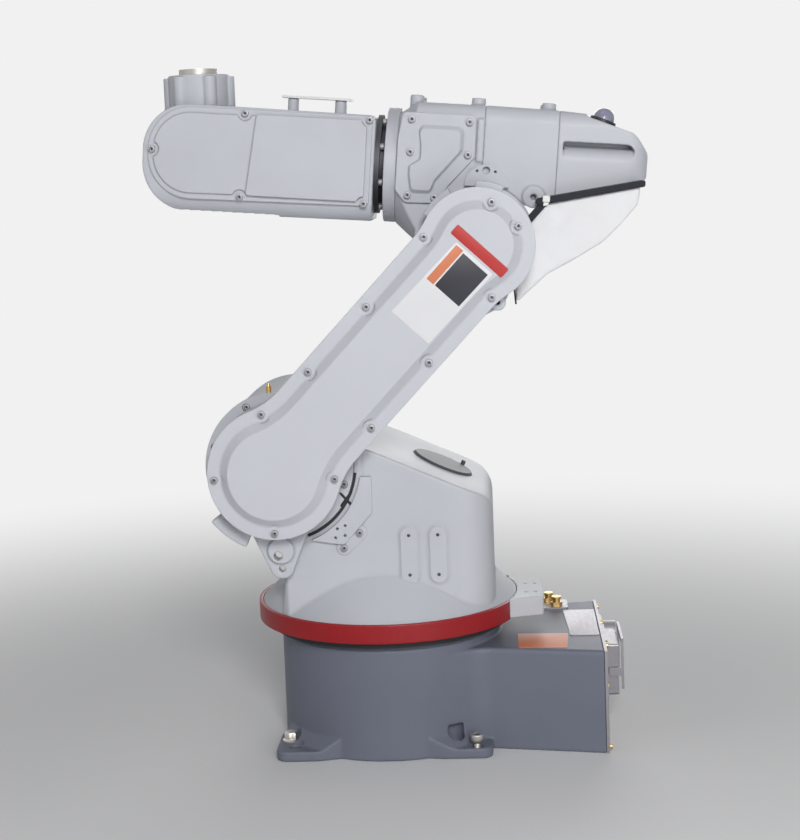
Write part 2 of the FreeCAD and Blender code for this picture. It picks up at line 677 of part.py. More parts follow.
def arm_wire(inset, level):
    """Outline of the upright arm: two round ends, hollow blends and straight sides."""
    low, high, half, blend, rise_low, rise_high = arm_points(inset)
    hollow = half + blend
    share = low / (low + blend)
    a = (hollow * share, rise_low * share)
    b = (half, rise_low)
    turn = math.atan2(rise_low, hollow) / 2
    ab = (hollow - blend * math.cos(turn), rise_low - blend * math.sin(turn))
    c = (half, arm_length - rise_high)
    share = high / (high + blend)
    d = (hollow * share, arm_length - rise_high * share)
    turn = math.atan2(rise_high, hollow) / 2
    cd = (hollow - blend * math.cos(turn), arm_length - rise_high + blend * math.sin(turn))

    def spot(p, mirror=1):
        return Vector(p[0] * mirror, level, p[1])

    def arc(p, q, r):
        return Part.Arc(p, q, r).toShape()

    edges = [arc(spot(a), spot(ab), spot(b)),
             Part.makeLine(spot(b), spot(c)),
             arc(spot(c), spot(cd), spot(d)),
             arc(spot(d), Vector(0, level, arm_length + high), spot(d, -1)),
             arc(spot(d, -1), spot(cd, -1), spot(c, -1)), Part.makeLine(spot(c, -1), spot(b, -1)),
             arc(spot(b, -1), spot(ab, -1), spot(a, -1)),
             arc(spot(a, -1), Vector(0, level, -low), spot(a))]
    return Part.Wire(edges)


def arm_prism(inset, low, high):
    return Part.Face(arm_wire(inset, low)).extrude(Vector(0, high - low, 0))


def lower_arm_casting():
    shell = arm_prism(0.6, arm_back, arm_seat)
    cavity = arm_prism(arm_wall, arm_back + arm_wall, arm_seat + 1)
    whole = shell.cut(cavity)
    posts = [rod("y", 6, arm_back + 2, arm_seat, x, z) for z, x in arm_screws]
    posts = [p.common(arm_prism(0.8, arm_back, arm_seat)) for p in posts]
    ear_x, ear_z = polar(ear_reach, ear_turn)
    foot_a = polar(58, ear_turn + 42)
    foot_b = polar(58, ear_turn - 36)
    side_a = polar(ear_r, ear_turn + 78, ear_x, ear_z)
    side_b = polar(ear_r, ear_turn - 78, ear_x, ear_z)
    ear = prism("y", [foot_a, side_a, side_b, foot_b], arm_back, arm_back + ear_t)
    ear = fused([ear, rod("y", ear_r, arm_back, arm_back + ear_t, ear_x, ear_z),
                 rod("y", ear_r + 1, arm_back, arm_back + ear_t + 5, *polar(ear_reach - 17, ear_turn))])
    stop = sector("y", arm_low_r - 10, stop_r, ear_turn + 24, ear_turn + 53, arm_back, arm_back + ear_t + 3)
    lug_spot = (-arm_half - lug_out, arm_length - lug_drop)
    lug = rod("y", lug_r, arm_back, arm_back + 24, *lug_spot)
    web_out = -arm_half - lug_out - 4.5
    web_top, web_high, web_low, web_foot = [arm_length - drop for drop in lug_web]
    web_in = 3 - arm_half
    web = prism("y", [(web_in, web_top), (web_out, web_high), (web_out, web_low), (web_in, web_foot)],
                arm_back, arm_back + ear_t + 1)
    hubs = [rod("y", hub_r, barrel_near - 12, arm_back + 1, 0, 0),
            rod("y", hub_r, fore_half + 8, arm_back + 1, 0, arm_length)]
    whole = fused([whole, ear, stop, lug, web] + posts + hubs)
    holes = [rod("y", 2.0, arm_seat - 9, arm_seat + 1, x, z) for z, x in arm_screws]
    holes += [rod("y", 4.2, arm_back - 1, arm_back + 20, *polar(ear_reach - 12, ear_turn + 2)),
              rod("y", 3.2, arm_back - 1, arm_back + 20, *polar(ear_reach + 2, ear_turn))]
    holes += [rod("y", 15, barrel_near - 20, arm_back + arm_wall + 1, 0, z) for z in (0, arm_length)]
    holes.append(rod("y", 2.5, arm_back + 8, arm_back + 30, *lug_spot))
    return without(whole, holes)


def lower_arm_cover():
    rim = arm_prism(0.0, arm_seat, arm_seat + cover_t)
    top = Part.makeLoft([arm_wire(dome_inset, arm_seat + cover_t),
                         arm_wire(dome_inset + dome_slope, arm_seat + cover_dome)], True, True)
    inside = arm_prism(dome_inset + dome_slope, arm_seat - 1, arm_seat + cover_dome - 3)
    whole = fused([rim, top])
    notches = [rod("y", notch_r, arm_seat + cover_t, arm_seat + 30, x, z) for z, x in arm_screws]
    holes = [rod("y", 2.05, arm_seat - 1, arm_seat + 30, x, z) for z, x in arm_screws]
    return without(whole, notches + holes + [inside])


def arm_harness():
    """Cable bundle inside the lower arm, from hub to hub."""
    y = arm_back + arm_wall + harness_r + turn_gap
    run = rod("z", harness_r, 0, arm_length, 0, y)
    ends = [rod("y", harness_r, barrel_near - 10, y, 0, z) for z in (0, arm_length)]
    knees = [Part.makeSphere(harness_r, Vector(0, y, z)) for z in (0, arm_length)]
    return fused([run] + ends + knees)


def build_lower_arm():
    save("arm_harness", lean_arm(arm_harness()))
    save("lower_arm_casting", lean_arm(lower_arm_casting()))
    save("lower_arm_cover", lean_arm(lower_arm_cover()))
    screws = [screw(screw_m4, x, arm_seat + cover_t, z, (0, -1, 0)) for z, x in arm_screws]
    save("arm_cover_screws", lean_arm(group(screws)))


# forearm housing

def housing_section(foot, low, high):
    """Squarish section of the housing with rounded top edges, run along the roll axis."""
    corners = [(-fore_half, foot), (fore_half, foot), (fore_half, roof_up, 16), (-fore_half, roof_up, 16)]
    return prism("x", corners, low, high)


def housing_front():
    """Front casting: roll bore, squarish shoulders and the round barrel of the elbow."""
    rear = disc_front - disc_t
    upper = prism("y", [(seam_mid, 30), (seam_mid, roof_up), (66, roof_up, 8), (rear, roof_up - 12, 3),
                        (rear, 12), (58, -8), (0, 0)], -fore_half, fore_half)
    cross = housing_section(-200, -300, rear)
    upper = upper.common(cross)
    nose = prism("x", [(-80, -200), (80, -200), (80, 200), (-80, 200)], 0, rear - 22).fuse(
        cone("x", 84, disc_r + 1, rear - 22, rear, 0, roll_offset))
    upper = upper.common(nose)
    barrel = rod("y", elbow_r, -fore_half, fore_half)
    boss_spots = [(x, y) for x in top_bosses[:2] for y in (boss_y, -boss_y)]
    bosses = [rod("z", boss_r, roof_up - 12, boss_up, x, y) for x, y in boss_spots]
    rib = prism("y", [(seam_mid, 78), (7, 78), (7, roof_up - 14), (seam_mid, roof_up - 14)], fore_half - 2,
                fore_half + 3)
    whole = fused([upper, barrel, rib] + bosses)
    bores = [rod("x", roll_bore_r, -1, rear + 1, 0, roll_offset)]
    bores += [rod("z", 2.1, boss_up - 10, boss_up + 1, x, y) for x, y in boss_spots]
    bores.append(rod("y", elbow_bore_r, -fore_half + 8, fore_half + 1))
    bores += [rod("y", 2.0, fore_half - 8, fore_half + 1, x, z) for x, z in plate_screws]
    return without(whole, bores)


def housing_middle():
    body = prism("y", [(cap_seam, 47.5), (cap_seam, roof_up - 1.5), (seam_mid, roof_up), (seam_mid, 20),
                       (-40, 36)], -fore_half, fore_half)
    body = body.common(housing_section(0, -300, seam_mid))
    body = body.cut(rod("y", elbow_r, -fore_half - 1, fore_half + 1))
    extra = [rod("z", boss_r, roof_up - 12, boss_up - 1.5, top_bosses[2], y) for y in (boss_y, -boss_y)]
    tie = rod("y", 11, fore_half - 6, fore_half + 3, *tie_boss)
    tie = tie.common(block(-200, 0, 0, 200, 30, 200))
    whole = fused([body, tie] + extra)
    cuts = [block(cap_seam - 1, 1, -motor_bay_half, motor_bay_half, motor_bay_low, motor_bay_high)]
    cuts += [rod("z", 2.1, boss_up - 12, boss_up + 1, top_bosses[2], y) for y in (boss_y, -boss_y)]
    cuts.append(rod("y", 3.0, fore_half - 9, fore_half + 4, *tie_boss))
    return without(whole, cuts)


def rear_cap():
    """Rounded tail of the housing, with a scooped hand slot on each side."""
    body = prism("y", [(cap_seam, 47.5), (cap_seam, roof_up - 1.5), (-112, roof_up - 4, 70), (-148, 114, 34),
                       (cap_end, 94, 12), (cap_end, 70, 5), (cap_end + 8, 65.5, 4)], -fore_half, fore_half)
    cross = prism("x", [(-fore_half, 0), (fore_half, 0), (fore_half, roof_up - 1.5, 16),
                        (-fore_half, roof_up - 1.5, 16)], -300, cap_seam)
    plan = prism("z", [(cap_seam, -fore_half), (cap_end, -fore_half, 22), (cap_end, fore_half, 22),
                       (cap_seam, fore_half)], 0, 300)
    body = body.common(cross).common(plan)
    slots = []
    for side in (1, -1):
        scoop = prism("x", [((fore_half + 1) * side, slot_low), ((fore_half + 1) * side, slot_high),
                            ((fore_half - slot_depth) * side, slot_high - 2)], slot_rear, slot_front)
        slots.append(scoop)
    bay = block(cap_end + 22, cap_seam + 1, -motor_bay_half, motor_bay_half,
                motor_bay_low + 5, motor_bay_high - 8)
    seat = rod("z", lamp_ring_r, 0, 14)
    seat.rotate(Vector(0, 0, 0), Vector(0, 1, 0), -lamp_turn)
    seat.translate(Vector(*lamp_spot))
    return without(body, slots + [bay, seat])


def on_lamp(shape):
    """Stand a lamp piece on the sloping tail."""
    shape.rotate(Vector(0, 0, 0), Vector(0, 1, 0), -lamp_turn)
    shape.translate(Vector(*lamp_spot))
    return shape


def lamp_dome():
    r = lamp_r
    return on_lamp(rod("z", r, lamp_ring_t, lamp_ring_t + 3).fuse(
        Part.makeSphere(r, Vector(0, 0, lamp_ring_t + 3), Vector(0, 0, 1), 0, 90, 360)).removeSplitter())


def side_plate():
    """Cover on the near side of the housing, with its raised field and a notch round one screw."""
    shape = [(81, 123, 5), (9, 123, 4), (8, 82, 3), (34, 51, 10),
             (41, 35, 6), (75, 34, 6), (85, 46, 4), (85, 96, 4)]
    plate = prism("y", shape, fore_half, fore_half + plate_t)
    field = [(65, 111, 6), (20, 111, 6), (20, 88, 6), (46, 56, 8), (50, 44, 5), (70, 44, 5), (73, 60, 5),
             (73, 70, 4), (62, 77, 6), (62, 92, 5)]
    low, high = fore_half + plate_t, fore_half + plate_t + island_t
    raised = Part.makeLoft([outline("y", field, low), outline("y", shrink(field, 0.9), high)], True, True)
    whole = fused([plate, raised])
    holes = [rod("y", 2.05, fore_half - 1, high + 1, x, z) for x, z in plate_screws]
    return without(whole, holes)


def shrink(corners, share):
    """The same corners drawn in towards their middle."""
    mx = sum(c[0] for c in corners) / len(corners)
    mz = sum(c[1] for c in corners) / len(corners)
    return [(mx + (x - mx) * share, mz + (z - mz) * share, r * share) for x, z, r in corners]


def hook_plate():
    """Half-disc bracket over the elbow, with a pin hole between two small ones."""
    cx, cz = 3.0 - 8.0, 54.0
    shape = rod("y", 22, fore_half, fore_half + 7, cx, cz).common(block(-60, 60, 0, 200, cz, cz + 40))
    holes = [rod("y", 3.6, 0, 200, cx + 1, cz + 16), rod("y", 1.3, 0, 200, cx + 10, cz + 15),
             rod("y", 1.3, 0, 200, cx - 8, cz + 15)]
    return without(shape, holes)


def elbow_reducer():
    """Gear unit between housing and lower arm, with the three guard tabs round its rim."""
    top = arm_back - face_gap
    ring = tube("y", elbow_flange_r, hub_r + bore_gap, fore_half, top)
    body = tube("y", elbow_bore_r - 0.1, hub_r + bore_gap, fore_half - 24, fore_half)
    tabs = [sector("y", elbow_flange_r - 4, elbow_tab_r, a, b, top - 14, top) for a, b in elbow_tabs]
    return fused([ring, body] + tabs)


def wrist_motors():
    pieces = []
    low = motor_bay_low + 5
    for y in (-29, 0, 29):
        half = wrist_motor_side / 2
        corners = [(y + i * half, low + half + j * half, 4) for i, j in square]
        body = prism("x", corners, cap_end + 24, cap_seam + 16)
        pieces.append(fused([body, rod("x", 4, cap_seam + 16, cap_seam + 26, y, low + 13.5)]))
    return group(pieces)


def cable_cover():
    """Soft fabric sleeve that hangs from the tail and hides the cables behind the elbow."""
    shape = [(-58, 36), (-154, 58, 4), (-153, 42, 12), (-120, 5, 30),
             (-70, -28, 20), (-40, -60, 3), (-43.5, 12, 10)]
    return prism("y", shape, fore_half + 8, arm_back - 10)


def cover_strap():
    shape = [(-56, 39), (-52, 45, 3), (-158, 69.5, 2), (-158, 63, 2)]
    band = prism("y", shape, fore_half + 0.4, arm_back - 7)
    return band.cut(rod("y", 11.4, 0, fore_half + 3.4, *tie_boss))


def cable_tie():
    """Nylon tie that holds the strap to the boss: a clip over three sides, with its head."""
    top = arm_back - 7
    outer = [(-66, 40.2), (-61, 39.0), (-61, 48.6), (-66, 49.8)]
    inner = [(-67, 41.5), (-60, 39.9), (-60, 47.2), (-67, 48.8)]
    band = prism("y", outer, fore_half + 4, top + 1.4).cut(prism("y", inner, 0, top + 0.2))
    head = block(-67, -60, top + 1.4, top + 4, 43, 49)
    return fused([band, head])


def build_forearm():
    drive = motor("y", 12 - fore_half, fore_half - 25, fore_half - 12, 0, 0, elbow_motor_side, elbow_bore_r)
    save("elbow_motor", tilt_fore(drive))
    save("wrist_motors", tilt_fore(wrist_motors()))
    save("cable_tie", tilt_fore(cable_tie()))
    save("housing_front", tilt_fore(housing_front()))
    save("housing_middle", tilt_fore(housing_middle()))
    save("rear_cap", tilt_fore(rear_cap()))
    disc = tube("x", disc_r, roll_bore_r, disc_front - disc_t, disc_front, 0, roll_offset)
    save("roll_flange", tilt_fore(disc))
    save("side_plate", tilt_fore(side_plate()))
    save("side_plate_screws", tilt_fore(group([screw(screw_m4, x, fore_half + plate_t, z, (0, -1, 0))
                                               for x, z in plate_screws])))
    save("hook_plate", tilt_fore(hook_plate()))
    save("elbow_reducer", tilt_fore(elbow_reducer()))
    save("lamp_ring", tilt_fore(on_lamp(rod("z", lamp_ring_r, 0, lamp_ring_t))))
    save("lamp_dome", tilt_fore(lamp_dome()))
    save("cable_cover", tilt_fore(cable_cover()))
    save("cover_strap", tilt_fore(cover_strap()))


# wrist arm, drawn from the bend axis, roll axis along x

def from_bend(shape):
    """Wrist arm piece, drawn from the bend axis, into the level forearm's frame and then to its place."""
    shape = shape.copy()
    shape.translate(Vector(wrist_along, 0, roll_offset))
    return tilt_fore(shape)


def wrist_casting():
    profile = prism("y", [(rear_x, -57), (rear_x, 48, 6), (-20, 49.5), (nose_r, 49.5, 46),
                          (nose_r, -59, 50), (-14, -59, 30)], -wrist_half, wrist_half)
    cross = prism("x", [(-wrist_half, -60, 26), (wrist_half, -60, 26), (wrist_half, 60), (-wrist_half, 60)],
                  rear_x, nose_r + 10)
    body = profile.common(cross)
    bosses = [rod("z", post_r, 45, bar_z, rear_x + x, 0) for x in bar_posts]
    body = fused([body] + bosses)
    gap = block(-fork_depth, nose_r + 10, -fork_half, fork_half, -80, 80)
    bore = rod("y", stub_r + bore_gap, -wrist_half - 1, wrist_half + 1)
    pockets = []
    for side in (1, -1):
        low, high = sorted((side * (wrist_half - belt_pocket), side * (wrist_half + 1)))
        pockets.append(prism("y", side_outline(9), low, high))
    neck = rod("x", 30, rear_x - 1, rear_x + 60)
    bolts = [rod("x", 2.0, rear_x - 1, rear_x + 6, y, z) for y, z in roll_bolt_spots()]
    holes = [rod("y", 2.0, side * wrist_half - 8, side * wrist_half + 8, x, z)
             for x, z in wrist_screws for side in (1, -1)]
    return without(body, [gap, bore, neck] + pockets + holes + bolts)


def side_outline(inset):
    return [(rear_x + 3 + inset, -42 + inset, 5), (rear_x + 3 + inset, 47 - inset, 5),
            (46 - inset, 47 - inset, 43 - inset), (46 - inset, -45 + inset, 43 - inset)]


def wrist_cover(side):
    """Side cover of the wrist arm: flat rim, raised front field and a higher rear field."""
    levels = [wrist_half, wrist_half + side_t / 2, wrist_half + side_t, wrist_half + side_t + side_step]
    rim = prism("y", side_outline(0), levels[0], levels[1])
    front = prism("y", side_outline(6), levels[1], levels[2])
    back = rear_x + field_edge
    field = [(back, field_low, 5), (back, field_top, 5),
             (field_front - 8, field_top, 3), (field_front, field_low, 3)]
    rear = prism("y", field, levels[2] - 0.5, levels[3])
    cover = fused([rim, front, rear])
    notches = [rod("y", notch_r - 1, levels[1], levels[3] + 5, x, z) for x, z in wrist_screws]
    holes = [rod("y", 2.05, levels[0] - 1, levels[3] + 5, x, z) for x, z in wrist_screws]
    cover = without(cover, notches + holes)
    return cover if side > 0 else cover.mirror(Vector(0, 0, 0), Vector(0, 1, 0))


def roll_shaft():
    """Hollow roll shaft with its flange: turns in the housing and carries the wrist arm."""
    x = rear_x
    flange = fused([rod("x", roll_flange_r, x - roll_flange_t, x),
                    rod("x", roll_bore_r + 1, disc_front + turn_gap - wrist_along, x)])
    shaft = rod("x", roll_bore_r - bore_gap, x - 70, x - 5)
    spigot = rod("x", 29.9, x - 1, x + 50)
    whole = fused([flange, shaft, spigot]).cut(rod("x", 18, x - 71, x + 51))
    return without(whole, [rod("x", 2.0, x - 20, x + 1, y, z) for y, z in roll_bolt_spots()])


def roll_bolt_spots():
    return [polar(roll_bolt_pcd / 2, 22.5 + 45 * k) for k in range(8)]


def guard_bar():
    back, front = [rear_x + x for x in bar_span]
    return block(back, front, -bar_half, bar_half, bar_z, bar_z + bar_t)


def belt_loop(side):
    """Toothed belt round both pulleys, inside the side cover."""
    low, high = pulley_span(side, 0.5)
    outer = belt_run(belt_t, low, high)
    return outer.cut(belt_run(0, low - 1, high + 1))


def belt_run(extra, low, high):
    big, small = driven_r + turn_gap + extra, drive_r + turn_gap + extra
    reach = drive_x
    tip = math.asin((big - small) / -reach)
    c, s = math.cos(tip), math.sin(tip)
    upper = [(-big * s, big * c), (reach - small * s, small * c)]
    band = prism("y", upper + [(x, -z) for x, z in reversed(upper)], low, high)
    return fused([band, rod("y", big, low, high), rod("y", small, low, high, reach, 0)])


def pulley_span(side, gap):
    """Lowest and highest y of a pulley in its pocket."""
    return sorted((side * (wrist_half - belt_pocket + gap), side * (wrist_half - 1.5)))


def build_wrist():
    save("wrist_casting", from_bend(wrist_casting()))
    save("wrist_cover_near", from_bend(wrist_cover(1)))
    save("wrist_cover_far", from_bend(wrist_cover(-1)))
    seat = wrist_half + side_t / 2
    screws = [screw(screw_m4, x, seat * side, z, (0, -side, 0)) for x, z in wrist_screws for side in (1, -1)]
    save("wrist_cover_screws", from_bend(group(screws)))
    save("roll_shaft", from_bend(roll_shaft()))
    bolt = (*screw_m4[:3], roll_flange_t + 5)
    bolts = [screw(bolt, rear_x - roll_flange_t, y, z, (1, 0, 0)) for y, z in roll_bolt_spots()]
    save("roll_bolts", from_bend(group(bolts)))
    pulleys = [rod("y", drive_r, *pulley_span(side, 0), drive_x, 0) for side in (1, -1)]
    save("drive_pulleys", from_bend(group(pulleys)))
    save("guard_bar", from_bend(guard_bar()))
    save("wrist_belts", from_bend(group([belt_loop(1), belt_loop(-1)])))


# bend unit and tool flange, upright over the bend axis

def unit_housing():
    half = fork_half - turn_gap
    waist = rod("y", 34, -half, half)
    stem = rod("z", unit_r, 0, unit_seat).common(block(-60, 60, -half, half, -60, 60))
    stubs = rod("y", stub_r, -wrist_half + belt_pocket, wrist_half - belt_pocket)
    return fused([waist, stem, stubs]).cut(rod("z", tool_shaft_r + bore_gap, 6, unit_seat + 1))


def unit_cover():
    """Lobed cover round the tool flange, one screw on each lobe."""
    shapes = [rod("z", 31, unit_seat, unit_top)]
    for k in range(lobe_count):
        x, y = polar(unit_r - lobe_r - 1, 360 / lobe_count * k)
        shapes.append(rod("z", lobe_r + 1, unit_seat, unit_top - 2, x, y))
    whole = fused(shapes)
    shaft_bore = rod("z", tool_shaft_r + bore_gap, 0, tool_reach)
    return without(whole, [shaft_bore, rod("z", tool_r + turn_gap, unit_top - tool_t, tool_reach)])


def tool_flange():
    disc = rod("z", tool_r, unit_top - tool_t + turn_gap, tool_reach)
    shaft = rod("z", tool_shaft_r, 8, unit_top - tool_t + 1)
    spots = [polar(tool_pcd / 2, 45 + 90 * k) for k in range(4)]
    holes = [rod("z", tool_hole_r, tool_reach - 9, tool_reach + 1, x, y) for x, y in spots]
    bore = rod("z", tool_bore_r, tool_reach - tool_bore_depth, tool_reach + 1)
    return without(fused([disc, shaft]), holes + [bore])


def build_bend_unit():
    save("bend_unit", lift_wrist(unit_housing()))
    save("bend_cover", lift_wrist(unit_cover()))
    save("tool_flange", lift_wrist(tool_flange()))
    pulleys = [rod("y", driven_r, *pulley_span(side, 0.5)) for side in (1, -1)]
    save("driven_pulleys", lift_wrist(group(pulleys)))


build_base()
build_column()
build_lower_arm()
build_forearm()
build_wrist()
build_bend_unit()
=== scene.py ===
import json
import math
import time
import bmesh
import bpy
from mathutils import Matrix, Vector, noise


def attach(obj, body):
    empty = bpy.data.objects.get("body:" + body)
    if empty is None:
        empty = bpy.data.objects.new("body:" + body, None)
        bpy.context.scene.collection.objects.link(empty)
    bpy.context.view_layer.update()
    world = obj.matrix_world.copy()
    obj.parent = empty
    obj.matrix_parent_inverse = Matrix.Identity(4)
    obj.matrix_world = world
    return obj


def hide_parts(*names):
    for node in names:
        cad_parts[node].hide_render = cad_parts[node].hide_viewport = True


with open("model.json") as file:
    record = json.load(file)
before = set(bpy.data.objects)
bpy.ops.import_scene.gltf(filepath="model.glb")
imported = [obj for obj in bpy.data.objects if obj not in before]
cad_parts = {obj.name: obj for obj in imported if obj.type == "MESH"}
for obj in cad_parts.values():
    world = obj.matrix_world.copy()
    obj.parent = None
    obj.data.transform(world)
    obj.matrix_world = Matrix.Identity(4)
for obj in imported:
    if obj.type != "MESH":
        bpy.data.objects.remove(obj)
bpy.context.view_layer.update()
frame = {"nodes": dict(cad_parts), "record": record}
mm = 0.001
shownNodes = frame["nodes"]
print("frame loaded:", len(shownNodes), "nodes")

# where the moving links stand at rest, in millimetres and degrees
layout = {
    "shoulderX": 98.5, "shoulderZ": 298.0, "armLength": 295.0, "armLean": 43.6,
    "rollOffset": 70.0, "wristAlong": 288.0, "foreTilt": 5.3,
}
leanAngle = math.radians(layout["armLean"])
tiltAngle = math.radians(layout["foreTilt"])
elbow = Vector((layout["shoulderX"] - layout["armLength"] * math.sin(leanAngle), 0,
                layout["shoulderZ"] + layout["armLength"] * math.cos(leanAngle)))
shoulder = Vector((layout["shoulderX"], 0, layout["shoulderZ"]))
armPlace = Matrix.Translation(shoulder) @ Matrix.Rotation(-leanAngle, 4, "Y")
forePlace = Matrix.Translation(elbow) @ Matrix.Rotation(-tiltAngle, 4, "Y")
wristPlace = forePlace @ Matrix.Translation((layout["wristAlong"], 0, layout["rollOffset"]))
here = Matrix.Identity(4)


# camera

view = {
    "spot": (-120.888, 1781.678, 592.296), "yaw": 0.0566, "pitch": -0.1094, "roll": -0.0381,
    "focal": 1734.79, "centre": (400.0, 352.8), "frame": (800, 840), "sensor": 36.0,
    "clip": (0.05, 50.0),
}


def placeCamera(v):
    yaw, pitch, roll = v["yaw"], v["pitch"], v["roll"]
    ahead = Vector((math.sin(yaw) * math.cos(pitch), -math.cos(yaw) * math.cos(pitch), math.sin(pitch)))
    right = ahead.cross(Vector((0, 0, 1))).normalized()
    up = right.cross(ahead)
    turned = right * math.cos(roll) + up * math.sin(roll)
    over = up * math.cos(roll) - right * math.sin(roll)
    data = bpy.data.cameras.new("camera")
    cam = bpy.data.objects.new("camera", data)
    bpy.context.scene.collection.objects.link(cam)
    cam.matrix_world = Matrix((
        (turned.x, over.x, -ahead.x, v["spot"][0] * mm), (turned.y, over.y, -ahead.y, v["spot"][1] * mm),
        (turned.z, over.z, -ahead.z, v["spot"][2] * mm), (0, 0, 0, 1)))
    longSide = max(v["frame"])
    data.sensor_width = v["sensor"]
    data.lens = v["focal"] / longSide * v["sensor"]
    data.shift_x = (v["frame"][0] / 2 - v["centre"][0]) / longSide
    data.shift_y = (v["centre"][1] - v["frame"][1] / 2) / longSide
    data.clip_start, data.clip_end = v["clip"]
    bpy.context.scene.camera = cam


placeCamera(view)


# shapes: a shape is (points, faces), drawn in millimetres in its link's own place

def at(plane, p, q, level):
    if plane == "x":
        return Vector((level, p, q))
    if plane == "y":
        return Vector((p, level, q))
    return Vector((p, q, level))


def polar(r, degrees, p=0.0, q=0.0):
    a = math.radians(degrees)
    return p + r * math.cos(a), q + r * math.sin(a)


# Corners (p, q) or (p, q, radius), moved inwards and rounded
def roundedLoop(corners, inset=0.0, steps=10):
    n = len(corners)
    spots = [Vector(c[:2]) for c in corners]
    area = sum(spots[i].x * spots[(i + 1) % n].y - spots[(i + 1) % n].x * spots[i].y for i in range(n))
    turn = 1.0 if area > 0 else -1.0
    runs = [(spots[(i + 1) % n] - spots[i]).normalized() for i in range(n)]
    points = []
    for i in range(n):
        before, after = runs[i - 1], runs[i]
        cross = before.x * after.y - before.y * after.x
        a = spots[i] + Vector((-before.y, before.x)) * turn * inset
        b = spots[i] + Vector((-after.y, after.x)) * turn * inset
        corner = a
        if abs(cross) > 1e-6:
            corner = a + before * (((b - a).x * after.y - (b - a).y * after.x) / cross)
        radius = corners[i][2] if len(corners[i]) > 2 else 0
        if radius <= 0:
            points.append((corner.x, corner.y))
            continue
        r = max(radius - inset, 0.05) if cross * turn > 0 else radius + inset
        half = math.acos(max(-1.0, min(1.0, -before.dot(after)))) / 2
        middle = corner + (after - before).normalized() * (r / math.sin(half))
        cut = r / math.tan(half)
        start, end = corner - before * cut - middle, corner + after * cut - middle
        first = math.atan2(start.y, start.x)
        sweep = (math.atan2(end.y, end.x) - first + math.pi) % (2 * math.pi) - math.pi
        for k in range(steps + 1):
            t = first + sweep * k / steps
            points.append((middle.x + r * math.cos(t), middle.y + r * math.sin(t)))
    return points


def circle(r, p=0.0, q=0.0, steps=64):
    return [(p + r * math.cos(2 * math.pi * k / steps), q + r * math.sin(2 * math.pi * k / steps))
            for k in range(steps)]


# Faces between rings of 3-D points that all have the same count
def skin(rings, closed=True, capFirst=True, capLast=True):
    points = [Vector(p) for ring in rings for p in ring]
    n = len(rings[0])
    faces = []
    for i in range(len(rings) - 1):
        for k in range(n if closed else n - 1):
            a, b = i * n + k, i * n + (k + 1) % n
            faces.append((a, b, b + n, a + n))
    if capFirst:
        faces.append(tuple(reversed(range(n))))
    if capLast:
        faces.append(tuple(range((len(rings) - 1) * n, len(rings) * n)))
    return points, faces


# A solid built up from one outline: steps are (inset, level) from the bottom to the top
def levels(plane, outline, steps):
    rings = []
    for inset, level in steps:
        rings.append([at(plane, p, q, level) for p, q in outline(inset)])
    return skin(rings)


# Steps for a straight wall whose end edges are rounded
def edged(low, high, soft, both=True, rounds=3):
    steps = []
    if both:
        for k in range(rounds + 1):
            a = math.pi / 2 * k / rounds
            steps.append((soft * (1 - math.sin(a)), low + soft * (1 - math.cos(a))))
    else:
        steps.append((0.0, low))
    for k in range(rounds + 1):
        a = math.pi / 2 * (1 - k / rounds)
        steps.append((soft * (1 - math.sin(a)), high - soft * (1 - math.cos(a))))
    return steps


def prism(plane, corners, low, high, soft=0.0, steps=10, both=True):
    ring = edged(low, high, soft, both) if soft else [(0.0, low), (0.0, high)]
    return levels(plane, lambda inset: roundedLoop(corners, inset, steps), ring)


def rod(plane, r, low, high, p=0.0, q=0.0, steps=64, soft=0.0, both=True):
    ring = edged(low, high, soft, both) if soft else [(0.0, low), (0.0, high)]
    return levels(plane, lambda inset: circle(r - inset, p, q, steps), ring)


def block(x0, x1, y0, y1, z0, z1, soft=0.8):
    return prism("z", [(x0, y0), (x1, y0), (x1, y1), (x0, y1)], z0, z1, soft)


# Round or flattened tube along the points, closed at its ends
def cordTube(points, r, sides=10, flat=1.0):
    rings = []
    for i, p in enumerate(points):
        run = (points[min(i + 1, len(points) - 1)] - points[max(i - 1, 0)]).normalized()
        side = run.cross(Vector((0, 1, 0))).normalized()
        out = side.cross(run)
        rings.append([p + side * (r * math.cos(2 * math.pi * k / sides))
                      + out * (r * flat * math.sin(2 * math.pi * k / sides)) for k in range(sides)])
    return skin(rings)


# Curve through the points
def smoothPath(points, steps=8):
    path = []
    for i in range(len(points) - 1):
        a, b = points[max(i - 1, 0)], points[i]
        c, d = points[i + 1], points[min(i + 2, len(points) - 1)]
        for k in range(steps):
            t = k / steps
            path.append(0.5 * ((2 * b) + (c - a) * t + (2 * a - 5 * b + 4 * c - d) * t * t
                               + (3 * b - a - 3 * c + d) * t * t * t))
    path.append(points[-1])
    return path


def joined(*shapes):
    points, faces = [], []
    for p, f in shapes:
        base = len(points)
        points += p
        faces += [tuple(i + base for i in face) for face in f]
    return points, faces


def moved(shape, matrix):
    return [matrix @ p for p in shape[0]], shape[1]


def mirroredY(shape):
    return [Vector((p.x, -p.y, p.z)) for p in shape[0]], [tuple(reversed(f)) for f in shape[1]]


def looseObject(name, shape):
    mesh = bpy.data.meshes.new(name)
    mesh.from_pydata([tuple(p) for p in shape[0]], [], shape[1])
    work = bmesh.new()
    work.from_mesh(mesh)
    bmesh.ops.remove_doubles(work, verts=work.verts, dist=1e-5)
    bmesh.ops.recalc_face_normals(work, faces=work.faces)
    work.to_mesh(mesh)
    work.free()
    o = bpy.data.objects.new(name, mesh)
    bpy.context.scene.collection.objects.link(o)
    return o


